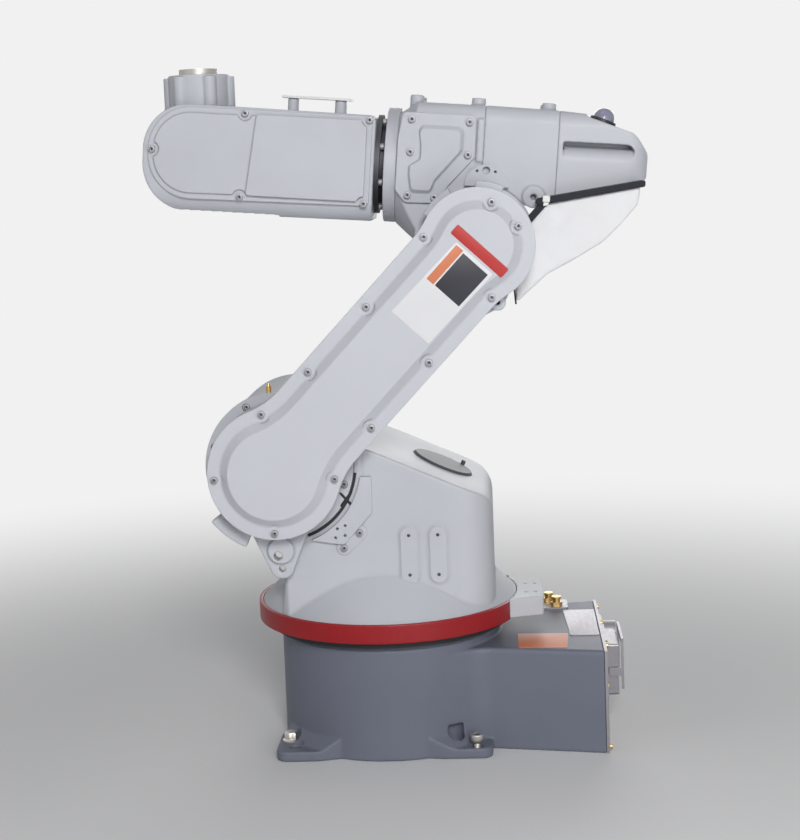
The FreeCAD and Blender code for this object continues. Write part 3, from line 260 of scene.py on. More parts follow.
# The object's mesh with its modifiers applied, as a shape; the object goes
def finished(o):
    mesh = bpy.data.meshes.new_from_object(o.evaluated_get(bpy.context.evaluated_depsgraph_get()))
    shape = [v.co.copy() for v in mesh.vertices], [tuple(f.vertices) for f in mesh.polygons]
    old = o.data
    bpy.data.objects.remove(o)
    bpy.data.meshes.remove(old)
    bpy.data.meshes.remove(mesh)
    return shape


def cut(shape, tool, operation="DIFFERENCE", solver="EXACT"):
    a, b = looseObject("work", shape), looseObject("tool", tool)
    m = a.modifiers.new("cut", "BOOLEAN")
    m.object, m.operation, m.solver = b, operation, solver
    result = finished(a)
    old = b.data
    bpy.data.objects.remove(b)
    bpy.data.meshes.remove(old)
    return result


def common(a, b):
    return cut(a, b, "INTERSECT")


# One skin round overlapping shapes, with the soft edges of a casting
def cast(shape, grain=1.6, rounds=8, keep=0.35):
    o = looseObject("work", shape)
    m = o.modifiers.new("skin", "REMESH")
    m.mode, m.voxel_size = "VOXEL", grain
    s = o.modifiers.new("soften", "SMOOTH")
    s.factor, s.iterations = 0.5, rounds
    d = o.modifiers.new("thin", "DECIMATE")
    d.ratio = keep
    return finished(o)


# placing pieces

def piece(name, shape, body, material, place=here, replaces=(), crease=35):
    o = looseObject(name, moved(shape, Matrix.Scale(mm, 4) @ place))
    o.data.materials.append(material)
    for f in o.data.polygons:
        f.use_smooth = True
    if crease:
        o.data.set_sharp_from_angle(angle=math.radians(crease))
    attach(o, body)
    if replaces:
        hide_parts(*replaces)
    return o


# materials

def nodeGroup(name, inputs, outputs):
    group = bpy.data.node_groups.new(name, "ShaderNodeTree")
    for label, kind, value in inputs:
        socket = group.interface.new_socket(label, in_out="INPUT", socket_type=kind)
        if value is not None:
            socket.default_value = value
    for label, kind in outputs:
        group.interface.new_socket(label, in_out="OUTPUT", socket_type=kind)
    return group, group.nodes.new("NodeGroupInput"), group.nodes.new("NodeGroupOutput")


# Gives a socket a value, or a link from another socket
def feed(link, socket, value):
    if isinstance(value, bpy.types.NodeSocket):
        link(value, socket)
    else:
        socket.default_value = value


def combined(tree, operation, *values):
    node = tree.nodes.new("ShaderNodeMath")
    node.operation = operation
    for socket, value in zip(node.inputs, values):
        feed(tree.links.new, socket, value)
    return node.outputs[0]


def ranged(tree, value, start, end):
    node = tree.nodes.new("ShaderNodeMapRange")
    tree.links.new(value, node.inputs["Value"])
    for label, number in zip(("From Min", "From Max", "To Min", "To Max"), start + end):
        node.inputs[label].default_value = number
    return node


def darkened(tree, mask, color, shade):
    node = tree.nodes.new("ShaderNodeMix")
    node.data_type, node.blend_type = "RGBA", "MULTIPLY"
    tree.links.new(mask, node.inputs[0])
    tree.links.new(color, node.inputs[6])
    node.inputs[7].default_value = (*shade, 1)
    return node.outputs[2]


def noisy(tree, place, scale, detail):
    node = tree.nodes.new("ShaderNodeTexNoise")
    tree.links.new(place, node.inputs["Vector"])
    feed(tree.links.new, node.inputs["Scale"], scale)
    node.inputs["Detail"].default_value = detail
    return node.outputs["Fac"]


def objectPlace(tree):
    return tree.nodes.new("ShaderNodeTexCoord").outputs["Object"]


def putOut(tree, out, **results):
    for label, socket in results.items():
        tree.links.new(socket, out.inputs[label])
    return tree


# Sprayed paint: broad tone drift, fine speckle, a faint orange peel for the bump, and painted shade that
# darkens the hollows
paintWay = {"broad": (9, 4), "fineDetail": 2, "drift": (0.35, 0.65), "driftShade": (0.35, 0.34, 0.33),
            "hollow": (0.5, 0.42), "creviceShadeColor": (0.2, 0.18, 0.17), "roughDrift": 0.18}


def makePaintGrain(w):
    tree, source, out = nodeGroup("paintGrain", [
        ("Color", "NodeSocketColor", (0.5, 0.5, 0.5, 1)), ("Drift", "NodeSocketFloat", 0.05),
        ("Peel", "NodeSocketFloat", 900.0), ("Roughness", "NodeSocketFloat", 0.4),
        ("CreviceShade", "NodeSocketFloat", 0.2)],
        [("Color", "NodeSocketColor"), ("Roughness", "NodeSocketFloat"), ("Height", "NodeSocketFloat")])
    place = objectPlace(tree)
    broad = noisy(tree, place, *w["broad"])
    fine = noisy(tree, place, source.outputs["Peel"], w["fineDetail"])
    shade = ranged(tree, broad, w["drift"], (0.0, 1.0)).outputs["Result"]
    amount = combined(tree, "MULTIPLY", shade, source.outputs["Drift"])
    dark = darkened(tree, amount, source.outputs["Color"], w["driftShade"])
    # painted shade: low pointiness marks hollows and crevices, and the colour is darkened there to stand in
    # for the shade that falls in them
    edge = tree.nodes.new("ShaderNodeNewGeometry").outputs["Pointiness"]
    hollow = ranged(tree, edge, w["hollow"], (0.0, 1.0)).outputs["Result"]
    paintedShade = combined(tree, "MULTIPLY", hollow, source.outputs["CreviceShade"])
    shadedColor = darkened(tree, paintedShade, dark, w["creviceShadeColor"])
    rough = combined(tree, "MULTIPLY_ADD", broad, w["roughDrift"], source.outputs["Roughness"])
    return putOut(tree, out, Color=shadedColor, Roughness=rough, Height=fine)


# Turned or handled metal: short fine streaks, with a tone mask
metalWay = {"stretch": (1, 1, 9), "detail": 5, "shade": (0.3, 0.29, 0.28)}


def makeScratches(w):
    tree, source, out = nodeGroup("metalStreaks", [
        ("Color", "NodeSocketColor", (0.5, 0.5, 0.5, 1)), ("Scale", "NodeSocketFloat", 300.0),
        ("Strength", "NodeSocketFloat", 0.3), ("Roughness", "NodeSocketFloat", 0.3)],
        [("Color", "NodeSocketColor"), ("Roughness", "NodeSocketFloat"), ("Height", "NodeSocketFloat")])
    stretch = tree.nodes.new("ShaderNodeMapping")
    stretch.inputs["Scale"].default_value = w["stretch"]
    tree.links.new(objectPlace(tree), stretch.inputs["Vector"])
    streak = noisy(tree, stretch.outputs["Vector"], source.outputs["Scale"], w["detail"])
    amount = combined(tree, "MULTIPLY", streak, source.outputs["Strength"])
    tone = darkened(tree, amount, source.outputs["Color"], w["shade"])
    rough = combined(tree, "ADD", amount, source.outputs["Roughness"])
    return putOut(tree, out, Color=tone, Roughness=rough, Height=streak)


# Plain weave for the cloth sleeve and the webbing
weaveWay = {"blot": (22, 5), "shade": (0.4, 0.38, 0.35)}


def makeWeave(w):
    tree, source, out = nodeGroup("clothWeave", [
        ("Color", "NodeSocketColor", (0.8, 0.8, 0.8, 1)), ("Thread", "NodeSocketFloat", 900.0),
        ("Stain", "NodeSocketFloat", 0.2)],
        [("Color", "NodeSocketColor"), ("Height", "NodeSocketFloat")])
    place = objectPlace(tree)
    waves = []
    for axis in ("X", "Z"):
        wave = tree.nodes.new("ShaderNodeTexWave")
        wave.bands_direction = axis
        tree.links.new(place, wave.inputs["Vector"])
        tree.links.new(source.outputs["Thread"], wave.inputs["Scale"])
        waves.append(wave.outputs["Fac"])
    high = combined(tree, "MAXIMUM", *waves)
    blot = noisy(tree, place, *w["blot"])
    amount = combined(tree, "MULTIPLY", blot, source.outputs["Stain"])
    return putOut(tree, out, Color=darkened(tree, amount, source.outputs["Color"], w["shade"]), Height=high)


paintGrain = makePaintGrain(paintWay)
metalStreaks = makeScratches(metalWay)
clothWeave = makeWeave(weaveWay)
shaderLabels = ("Metallic", "Coat Weight", "Coat Roughness", "Specular IOR Level", "Transmission Weight",
                "IOR", "Sheen Weight", "Roughness")
usual = {
    "paint": {"drift": 0.06, "peel": 900.0, "creviceShade": 0.25, "bump": 0.12, "depth": 0.0004},
    "metal": {"Metallic": 1.0, "scale": 300.0, "streak": 0.3, "bump": 0.1, "depth": 0.0002},
    "cloth": {"thread": 900.0, "stain": 0.2, "bump": 0.4, "depth": 0.0003},
}


# A material whose colour, roughness and bump come from one of the groups
def finish(name, look, group, socketShadeShapes):
    m = bpy.data.materials.new(name)
    m.use_nodes = True
    nodes, link = m.node_tree.nodes, m.node_tree.links.new
    shader = nodes["Principled BSDF"]
    for label in shaderLabels:
        if label in look:
            shader.inputs[label].default_value = look[label]
    grain = nodes.new("ShaderNodeGroup")
    grain.node_tree = group
    grain.inputs["Color"].default_value = (*look["color"], 1)
    for label, key in socketShadeShapes.items():
        grain.inputs[label].default_value = look[key]
    link(grain.outputs["Color"], shader.inputs["Base Color"])
    if "Roughness" in grain.outputs:
        link(grain.outputs["Roughness"], shader.inputs["Roughness"])
    bump = nodes.new("ShaderNodeBump")
    bump.inputs["Strength"].default_value = look["bump"]
    bump.inputs["Distance"].default_value = look["depth"]
    link(grain.outputs["Height"], bump.inputs["Height"])
    link(bump.outputs["Normal"], shader.inputs["Normal"])
    return m


def paint(name, look):
    return finish(name, {**usual["paint"], **look}, paintGrain,
                  {"Roughness": "rough", "Drift": "drift", "Peel": "peel", "CreviceShade": "creviceShade"})


def metal(name, look):
    return finish(name, {**usual["metal"], **look}, metalStreaks,
                  {"Roughness": "rough", "Scale": "scale", "Strength": "streak"})


def cloth(name, look):
    return finish(name, {**usual["cloth"], **look}, clothWeave, {"Thread": "thread", "Stain": "stain"})


# painted shade: each paint's crevice amount sets how dark its hollows are painted
armPaint = paint("armPaint", {"color": (0.53, 0.545, 0.585), "rough": 0.36, "drift": 0.09, "creviceShade": 0.6,
                              "Specular IOR Level": 0.25})
coverPaint = paint("coverPaint", {"color": (0.56, 0.57, 0.615), "rough": 0.34, "drift": 0.06, "creviceShade": 0.55,
                                  "Specular IOR Level": 0.25})
basePaint = paint("basePaint", {"color": (0.15, 0.163, 0.208), "rough": 0.42, "drift": 0.12, "peel": 700.0,
                                "creviceShade": 0.4, "bump": 0.2, "Specular IOR Level": 0.3})
redPaint = paint("redPaint", {"color": (0.30, 0.006, 0.010), "rough": 0.34, "drift": 0.10, "bump": 0.25,
                              "Specular IOR Level": 0.3, "Coat Weight": 0.2, "Coat Roughness": 0.2})
gearGrey = metal("gearGrey", {"color": (0.42, 0.43, 0.46), "rough": 0.38, "Metallic": 0.55, "streak": 0.25})
brightMetal = metal("brightMetal", {"color": (0.50, 0.48, 0.44), "rough": 0.3, "streak": 0.35})
# painted shade: the roll shaft is coloured near-black to stand in for the shade in the gap between the wrist
# casting and the roll flange
shaftGapShade = metal("shaftGapShade", {"color": (0.10, 0.10, 0.11), "rough": 0.45, "streak": 0.3})
boltZinc = metal("boltZinc", {"color": (0.74, 0.70, 0.66), "rough": 0.22, "streak": 0.35, "scale": 500.0})
gearPaint = paint("gearPaint", {"color": (0.53, 0.54, 0.58), "rough": 0.36, "drift": 0.08, "creviceShade": 0.4,
                                "Specular IOR Level": 0.25})
steel = metal("steel", {"color": (0.46, 0.46, 0.47), "rough": 0.26, "streak": 0.5, "scale": 700.0})
goldSteel = metal("goldSteel", {"color": (0.62, 0.48, 0.24), "rough": 0.3, "streak": 0.3})
brass = metal("brass", {"color": (0.68, 0.45, 0.18), "rough": 0.26, "streak": 0.35})
panelMetal = metal("panelMetal", {"color": (0.33, 0.32, 0.34), "rough": 0.34, "streak": 0.3})
pulleyMetal = metal("pulleyMetal", {"color": (0.42, 0.42, 0.44), "rough": 0.4})
motorBlack = paint("motorBlack", {"color": (0.02, 0.02, 0.022), "rough": 0.5})
blackRubber = paint("blackRubber", {"color": (0.014, 0.014, 0.016), "rough": 0.62, "bump": 0.3})
darkCap = paint("darkCap", {"color": (0.05, 0.052, 0.06), "rough": 0.45})
screwMetal = metal("screwMetal", {"color": (0.40, 0.40, 0.42), "rough": 0.34, "streak": 0.4, "Metallic": 0.7})
lampBlack = paint("lampBlack", {"color": (0.01, 0.01, 0.012), "rough": 0.4})
sleeveCloth = cloth("sleeveCloth", {"color": (0.84, 0.84, 0.86), "Roughness": 0.8, "thread": 700.0,
                                    "stain": 0.12, "Sheen Weight": 0.2})
strapWeb = cloth("strapWeb", {"color": (0.012, 0.013, 0.022), "Roughness": 0.75, "thread": 1100.0,
                              "stain": 0.3})
nylonWhite = paint("nylonWhite", {"color": (0.72, 0.72, 0.70), "rough": 0.35, "bump": 0.05})
lampSmoke = paint("lampSmoke", {"color": (0.33, 0.33, 0.45), "rough": 0.07, "bump": 0.03, "drift": 0.3,
                                "Transmission Weight": 0.25, "IOR": 1.5})
seamShade = paint("seamShade", {"color": (0.06, 0.06, 0.07), "rough": 0.7, "bump": 0.1})
bareOrange = paint("bareOrange", {"color": (0.64, 0.20, 0.09), "rough": 0.4, "bump": 0.08})
plateWhite = paint("plateWhite", {"color": (0.72, 0.72, 0.74), "rough": 0.4, "bump": 0.05})
plateDark = paint("plateDark", {"color": (0.02, 0.02, 0.03), "rough": 0.4, "bump": 0.05})
plateRed = paint("plateRed", {"color": (0.46, 0.022, 0.018), "rough": 0.4, "bump": 0.05})
print("materials made")

slotLooks = {
    "base_paint": basePaint, "arm_paint": armPaint, "cover_paint": coverPaint, "red_paint": redPaint,
    "gear_grey": gearGrey, "bright_metal": brightMetal, "steel": steel, "gold_screws": goldSteel,
    "brass": brass, "panel_metal": panelMetal, "pulley_metal": pulleyMetal, "motor_black": motorBlack,
    "black_rubber": blackRubber, "dark_cap": darkCap, "lamp_black": lampBlack, "lamp_smoke": lampSmoke,
    "white_cloth": sleeveCloth, "black_strap": strapWeb, "white_nylon": nylonWhite,
}
for entry in frame["record"]["subparts"]:
    node = shownNodes[entry["node"]]
    node.data.materials.clear()
    node.data.materials.append(slotLooks[entry["material_slot"]])
# painted shade: the roll shaft takes the near-black finish that stands in for the shade in its gap
for name, ownFinish in {"shoulder_reducer": gearPaint, "roll_shaft": shaftGapShade}.items():
    shownNodes[name].data.materials[0] = ownFinish


# castings: the CAD solid's own form, given one soft-edged skin

def nodeShape(name):
    data = shownNodes[name].data
    return [v.co / mm for v in data.vertices], [tuple(f.vertices) for f in data.polygons]


# Groups of points that share faces
def islands(shape):
    parent = list(range(len(shape[0])))

    def top(i):
        while parent[i] != i:
            parent[i] = parent[parent[i]]
            i = parent[i]
        return i
    places = {}
    for i, p in enumerate(shape[0]):
        key = (round(p.x, 3), round(p.y, 3), round(p.z, 3))
        if key in places:
            parent[top(i)] = top(places[key])
        else:
            places[key] = i
    for face in shape[1]:
        for i in face[1:]:
            parent[top(i)] = top(face[0])
    groups = {}
    for i in range(len(shape[0])):
        groups.setdefault(top(i), []).append(shape[0][i])
    return list(groups.values())


tailSlot = {
    "front": -78.0, "rear": -148.5, "low": 84.0, "high": 102.5, "out": 58.0, "seam": -73.0, "end": -163.0,
    "turn": 22.0, "bar": 13.5, "frontRound": (4.0, 2.0), "rearRound": (4.0, 8.5), "grain": 0.8, "deep": 37.0,
    "arc": 10, "beyond": 70.0,
}
lampLook = {
    "spot": (-117.8, 0.0, 122.6), "lean": 17.0, "ring": 13.45, "ringHigh": 5.2, "dome": 10.8, "steps": 48,
    "flat": (-34.0, 19.5, -70.0, 70.0, 0.2, 30.0, 2.0),
    "lip": [(0.0, 1.2), (0.35, 0.4), (1.1, 0.0), (1.8, 0.0), (2.1, 0.5), (2.3, 0.5)],  # in from the rim, down
    "domeFoot": 0.8, "domeLift": 0.6, "domeArcs": 14, "tip": 0.02,
}
lampPlace = (forePlace @ Matrix.Translation(lampLook["spot"])
             @ Matrix.Rotation(-math.radians(lampLook["lean"]), 4, "Y"))


def tailFiller(s):
    # the tail's own plan over the height of the slots
    plan = [(s["seam"] - 1, -s["out"]), (s["end"], -s["out"], s["turn"]), (s["end"], s["out"], s["turn"]),
            (s["seam"] - 1, s["out"])]
    fill = prism("z", plan, s["low"] - 1, s["high"] + 1)
    wide = s["beyond"]
    keep = block(s["rear"] - 1.5, s["seam"] - 1.5, -wide, wide, s["low"] - 2, s["high"] + 2, 0.1)
    return common(fill, keep)


def tailScoop(s, side):
    # under a ledge, a rounded floor that comes out to the skin at its lower edge
    base = s["out"] - s["bar"]
    floor = [polar(s["bar"], a, base, s["low"]) for a in range(90, -1, -s["arc"])]
    section = [(s["out"] + 4, s["low"]), (s["out"] + 4, s["high"]), (s["deep"], s["high"]),
               (s["deep"], s["low"] + s["bar"])] + floor
    mouth = [(s["front"], s["low"], s["frontRound"][0]), (s["front"], s["high"], s["frontRound"][1]),
             (s["rear"], s["high"], s["rearRound"][1]), (s["rear"], s["low"], s["rearRound"][0])]
    scoop = common(prism("x", section, s["rear"] - 1, s["front"] + 1),
                   prism("y", mouth, s["deep"] - 1, s["out"] + 5, steps=6))
    return scoop if side > 0 else mirroredY(scoop)


def tailShape():
    # the housing's tail with its slots redrawn
    whole = joined(nodeShape("rear_cap"), moved(tailFiller(tailSlot), forePlace))
    shape = cast(whole, tailSlot["grain"], 0, 1.0)
    for side in (1, -1):
        shape = cut(shape, moved(tailScoop(tailSlot, side), forePlace), solver="MANIFOLD")
    return cut(shape, moved(block(*lampLook["flat"]), lampPlace), solver="MANIFOLD")


wristEdge = {"high": -42.0, "low": -52.6, "out": 53.0, "in": 44.5, "span": (-190.0, 40.0)}


def wristShape():
    # both lower edges slope inwards under the side covers
    shape = nodeShape("wrist_casting")
    e = wristEdge
    for side in (1, -1):
        wedge = prism("x", [(e["out"], e["high"]), (e["out"], e["low"] - 2), (e["in"] - 2, e["low"] - 2),
                            (e["in"], e["low"])], *e["span"])
        shape = cut(shape, moved(wedge if side > 0 else mirroredY(wedge), wristPlace))
    return shape


ownShapes = {"housingTail": tailShape, "wristBody": wristShape}
castings = [
    {"name": "baseBody", "node": "base_casting", "body": "base",
     "slot": "base_paint", "grain": 1.2, "rounds": 6, "keep": 0.35},
    {"name": "columnBody", "node": "column_casting", "body": "column",
     "slot": "arm_paint", "grain": 1.2, "rounds": 7, "keep": 0.35},
    {"name": "ringLug", "node": "rear_lug", "body": "column",
     "slot": "arm_paint", "grain": 0.7, "rounds": 4, "keep": 0.4},
    {"name": "stopperPlate", "node": "stopper_block", "body": "column",
     "slot": "arm_paint", "grain": 0.5, "rounds": 3, "keep": 0.4},
    {"name": "armShell", "node": "lower_arm_casting", "body": "lower_arm",
     "slot": "arm_paint", "grain": 1.0, "rounds": 5, "keep": 0.3},
    {"name": "armCover", "node": "lower_arm_cover", "body": "lower_arm",
     "slot": "cover_paint", "grain": 0.8, "rounds": 3, "keep": 0.35},
    {"name": "housingFront", "node": "housing_front", "body": "forearm",
     "slot": "arm_paint", "grain": 1.0, "rounds": 7, "keep": 0.3},
    {"name": "housingMiddle", "node": "housing_middle", "body": "forearm",
     "slot": "arm_paint", "grain": 0.9, "rounds": 5, "keep": 0.3},
    {"name": "housingTail", "node": "rear_cap", "body": "forearm",
     "slot": "arm_paint", "grain": 0.9, "rounds": 5, "keep": 0.3},
    {"name": "rollDisc", "node": "roll_flange", "body": "forearm",
     "slot": "gear_grey", "paint": armPaint, "grain": 0.7, "rounds": 4, "keep": 0.3},
    {"name": "sidePlate", "node": "side_plate", "body": "forearm",
     "slot": "arm_paint", "grain": 0.5, "rounds": 5, "keep": 0.3},
    {"name": "hookPlate", "node": "hook_plate", "body": "forearm",
     "slot": "arm_paint", "grain": 0.4, "rounds": 4, "keep": 0.4},
    {"name": "elbowGear", "node": "elbow_reducer", "body": "forearm",
     "slot": "gear_grey", "paint": armPaint, "grain": 0.8, "rounds": 4, "keep": 0.3},
    {"name": "wristBody", "node": "wrist_casting", "body": "wrist_arm",
     "slot": "arm_paint", "grain": 1.0, "rounds": 5, "keep": 0.3},
    {"name": "wristCoverNear", "node": "wrist_cover_near", "body": "wrist_arm",
     "slot": "arm_paint", "grain": 0.6, "rounds": 6, "keep": 0.3},
    {"name": "wristCoverFar", "node": "wrist_cover_far", "body": "wrist_arm",
     "slot": "arm_paint", "grain": 0.6, "rounds": 6, "keep": 0.3},
    {"name": "bendBody", "node": "bend_unit", "body": "bend_unit",
     "slot": "arm_paint", "grain": 0.8, "rounds": 4, "keep": 0.3},
    {"name": "bendLobes", "node": "bend_cover", "body": "bend_unit",
     "slot": "arm_paint", "grain": 0.6, "rounds": 4, "keep": 0.35},
    {"name": "swivelBand", "node": "swivel_band", "body": "column",
     "slot": "red_paint", "grain": 0.8, "rounds": 3, "keep": 0.4},
    {"name": "tieEarPlate", "node": "ear_plate", "body": "column",
     "slot": "arm_paint", "grain": 0.4, "rounds": 3, "keep": 0.4},
    {"name": "sleeveStrap", "node": "cover_strap", "body": "forearm",
     "slot": "black_strap", "grain": 0.5, "rounds": 4, "keep": 0.4},
    {"name": "strapTie", "node": "cable_tie", "body": "forearm",
     "slot": "white_nylon", "grain": 0.3, "rounds": 3, "keep": 0.4},
]
started = time.time()
for look in castings:
    own = ownShapes.get(look["name"])
    shape = own() if own else nodeShape(look["node"])
    solid = cast(shape, look["grain"], look["rounds"], look["keep"])
    coat = look.get("paint", slotLooks[look["slot"]])
    piece(look["name"], solid, look["body"], coat, replaces=[look["node"]], crease=0)
print("castings skinned in", round(time.time() - started, 1), "s")


# cap screws: a socket in each head, a small chamfer, the hex turned one by one

def turnedRings(profile, steps):
    # rings for a profile of (radius, height)
    return [[Vector((u, v, h)) for u, v in circle(r, 0, 0, steps)] for r, h in profile]


def lathe(profile, steps=32):
    return skin(turnedRings(profile, steps))


def hexRing(across, level, steps):
    ring = []
    for k in range(steps):
        a = 2 * math.pi * k / steps
        part = (a % (math.pi / 3)) - math.pi / 6
        r = across / 2 / math.cos(part)
        ring.append(Vector((r * math.cos(a), r * math.sin(a), level)))
    return ring


headLook = {
    "steps": 36, "foot": (0.98, 0.2), "edge": 0.12, "edgeRound": 0.35, "mouth": 1.1, "mouthDeep": 0.15,
    "point": (0.2, 1.15), "gap": 0.02, "tall": 1.1, "least": 2.6, "usualRadius": 3.5, "flat": 0.2,
    "lining": (0.25, 1.1), "liningSize": 0.97, "liningPoint": 0.1, "turn": 2.4,
}


def capScrew(r, h, across, deep, s):
    edge, steps = s["edge"] * r, s["steps"]
    rings = turnedRings([(r * s["foot"][0], 0), (r, s["foot"][1]), (r, h - edge),
                         (r - edge * s["edgeRound"], h - edge * s["edgeRound"]), (r - edge, h)], steps)
    rings.append([Vector((p.x * s["mouth"], p.y * s["mouth"], h)) for p in hexRing(across, h, steps)])
    rings += [hexRing(across, h - s["mouthDeep"] * deep, steps), hexRing(across, h - deep, steps)]
    return skin(rings + turnedRings([(s["point"][0], h - deep * s["point"][1])], steps))


screwSets = [
    {"name": "armCoverScrews", "node": "arm_cover_screws", "body": "lower_arm", "out": (0, 1, 0),
     "metal": screwMetal, "slot": "steel", "across": 3.4, "deep": 2.2},
    {"name": "sidePlateScrews", "node": "side_plate_screws", "body": "forearm", "out": (0, 1, 0),
     "metal": screwMetal, "slot": "steel", "across": 3.4, "deep": 2.2},
    {"name": "earPlateScrews", "node": "ear_plate_screws", "body": "column", "out": (0, 1, 0),
     "metal": screwMetal, "slot": "steel", "across": 3.4, "deep": 2.2},
    {"name": "panelScrews", "node": "panel_screws", "body": "base", "out": (-1, 0, 0),
     "metal": goldSteel, "slot": "gold_screws", "across": 2.6, "deep": 1.5},
    {"name": "shoulderScrews", "node": "shoulder_screws", "body": "column", "out": (0, 1, 0),
     "metal": screwMetal, "slot": "steel", "across": 3.4, "deep": 2.2},
]


def screwHeads(look, points, out, number, s):
    level = max(p.dot(out) for p in points)
    ring = [p for p in points if p.dot(out) > level - s["flat"]]
    centre = sum(ring, Vector()) / len(ring)
    centre += out * (level - centre.dot(out))
    radius = max((p - centre).length for p in ring)
    height = max(radius * s["tall"], s["least"])
    across = look["across"] * radius / s["usualRadius"]
    head = capScrew(radius - s["gap"], height, across, look["deep"], s)
    # painted shade: a dark lining sheet just inside each hex socket, with its floor, stands in for the shade
    # down in the socket
    lining = [hexRing(across * s["liningSize"], height - k * look["deep"], s["steps"]) for k in s["lining"]]
    shrink = s["liningPoint"]
    floor = [Vector((p.x * shrink, p.y * shrink, height - look["deep"])) for p in lining[0]]
    socket = skin(lining + [floor], True, False, True)
    turn = Matrix.Rotation(number * s["turn"], 4, "Z")
    stand = out.to_track_quat("Z", "Y").to_matrix().to_4x4()
    place = Matrix.Translation(centre - out * height) @ stand @ turn
    return moved(head, place), moved(socket, place)


def addScrews(look, sides):
    heads, socketShadeShapes = [], []
    for number, points in enumerate(islands(nodeShape(look["node"]))):
        middle = sum(points, Vector()) / len(points)
        head, socket = screwHeads(look, points, sides(middle), number, headLook)
        heads.append(head)
        socketShadeShapes.append(socket)
    piece(look["name"], joined(*heads), look["body"], look["metal"], replaces=[look["node"]],
          crease=30)
    # the socket linings go in as one dark piece of painted shade
    piece(look["name"] + "SocketShade", joined(*socketShadeShapes), look["body"], seamShade, crease=30)


for look in screwSets:
    addScrews(look, lambda middle, out=Vector(look["out"]): out)
addScrews({"name": "wristCoverScrews", "node": "wrist_cover_screws", "body": "wrist_arm", "metal": screwMetal,
           "slot": "steel", "across": 3.4, "deep": 2.2},
          lambda middle: Vector((0, 1 if middle.y > 0 else -1, 0)))
rollOut = forePlace.to_3x3() @ Vector((-1, 0, 0))
addScrews({"name": "rollBolts", "node": "roll_bolts", "body": "wrist_arm", "metal": screwMetal,
           "slot": "steel", "across": 3.4, "deep": 2.2}, lambda middle: rollOut)


# jack bolts: a flanged hex at the front, a tapered socket head at the rear

jackLook = {
    "front": {"node": "jack_bolts_front", "name": "jackHexBolts", "head": 6.9, "base": 12.2, "top": 19.0,
              "shank": 4.6, "run": 2.4, "edge": 0.9, "crown": (0.84, 0.3),
              "collar": [(8.6, 2.2), (8.6, 1.2), (6.624, 0.0)]},  # radius, and how far under the base
    "rear": {"node": "jack_bolts_rear", "name": "jackSocketBolts", "head": 6.9, "base": 13.2, "top": 22.0,
             "shank": 3.6, "run": 0.6, "edge": 0.9, "chamfer": 0.8, "across": 6.4, "deep": 4.0,
             "taper": [(4.4, 0.0), (5.658, 1.6), (6.693, 4.6)]},  # radius, and how far over the base
    "low": 6.0, "pitch": 0.9, "root": 0.86, "steps": 48, "shadeSteps": 36, "shadeSize": 0.97,
    "shade": (0.16, 0.95), "turn": 0.35,
}


def threadRings(r, low, high, look):
    rings, level, wide = [], low, True
    while level < high:
        rings.append((r if wide else r * look["root"], level))
        level, wide = level + look["pitch"] / 2, not wide
    return rings


def boltSpots(node):
    spots = []
    for points in islands(nodeShape(node)):
        middle = sum(points, Vector()) / len(points)
        spots.append((middle.x, middle.y))
    return spots


def hexBolt(b, look):
    profile = threadRings(b["shank"], look["low"], b["base"] - b["run"], look)
    profile += [(r, b["base"] - under) for r, under in b["collar"]]
    rings = turnedRings(profile, look["steps"])
    across = b["head"] * math.sqrt(3)
    rings += [hexRing(across, level, look["steps"]) for level in (b["base"], b["top"] - b["edge"])]
    return skin(rings + turnedRings([(b["head"] * share, b["top"]) for share in b["crown"]], look["steps"]))


def socketBolt(b, look):
    profile = threadRings(b["shank"], look["low"], b["base"] - b["run"], look)
    profile += [(r, b["base"] + over) for r, over in b["taper"]]
    profile += [(b["head"], b["top"] - b["edge"]), (b["head"] - b["chamfer"], b["top"])]
    return skin(turnedRings(profile, look["steps"])
                + [hexRing(b["across"], level, look["steps"]) for level in (b["top"], b["top"] - b["deep"])])


# painted shade: a dark sheet inside each rear bolt's socket stands in for the shade in it
def socketShade(b, look):
    across = b["across"] * look["shadeSize"]
    return skin([hexRing(across, b["top"] - k * b["deep"], look["shadeSteps"]) for k in look["shade"]])


for key, makeBolt in (("front", hexBolt), ("rear", socketBolt)):
    b = jackLook[key]
    bolts, shades = [], []
    for number, (x, y) in enumerate(boltSpots(b["node"])):
        place = Matrix.Translation((x, y, 0)) @ Matrix.Rotation(jackLook["turn"] + number, 4, "Z")
        bolts.append(moved(makeBolt(b, jackLook), place))
        if "deep" in b:
            shades.append(moved(socketShade(b, jackLook), place))
    piece(b["name"], joined(*bolts), "base", boltZinc, replaces=[b["node"]], crease=32)
    if shades:
        piece(b["name"] + "SocketShade", joined(*shades), "base", seamShade, crease=30)
print("screws placed")


# bare plates where the picture has lettered ones

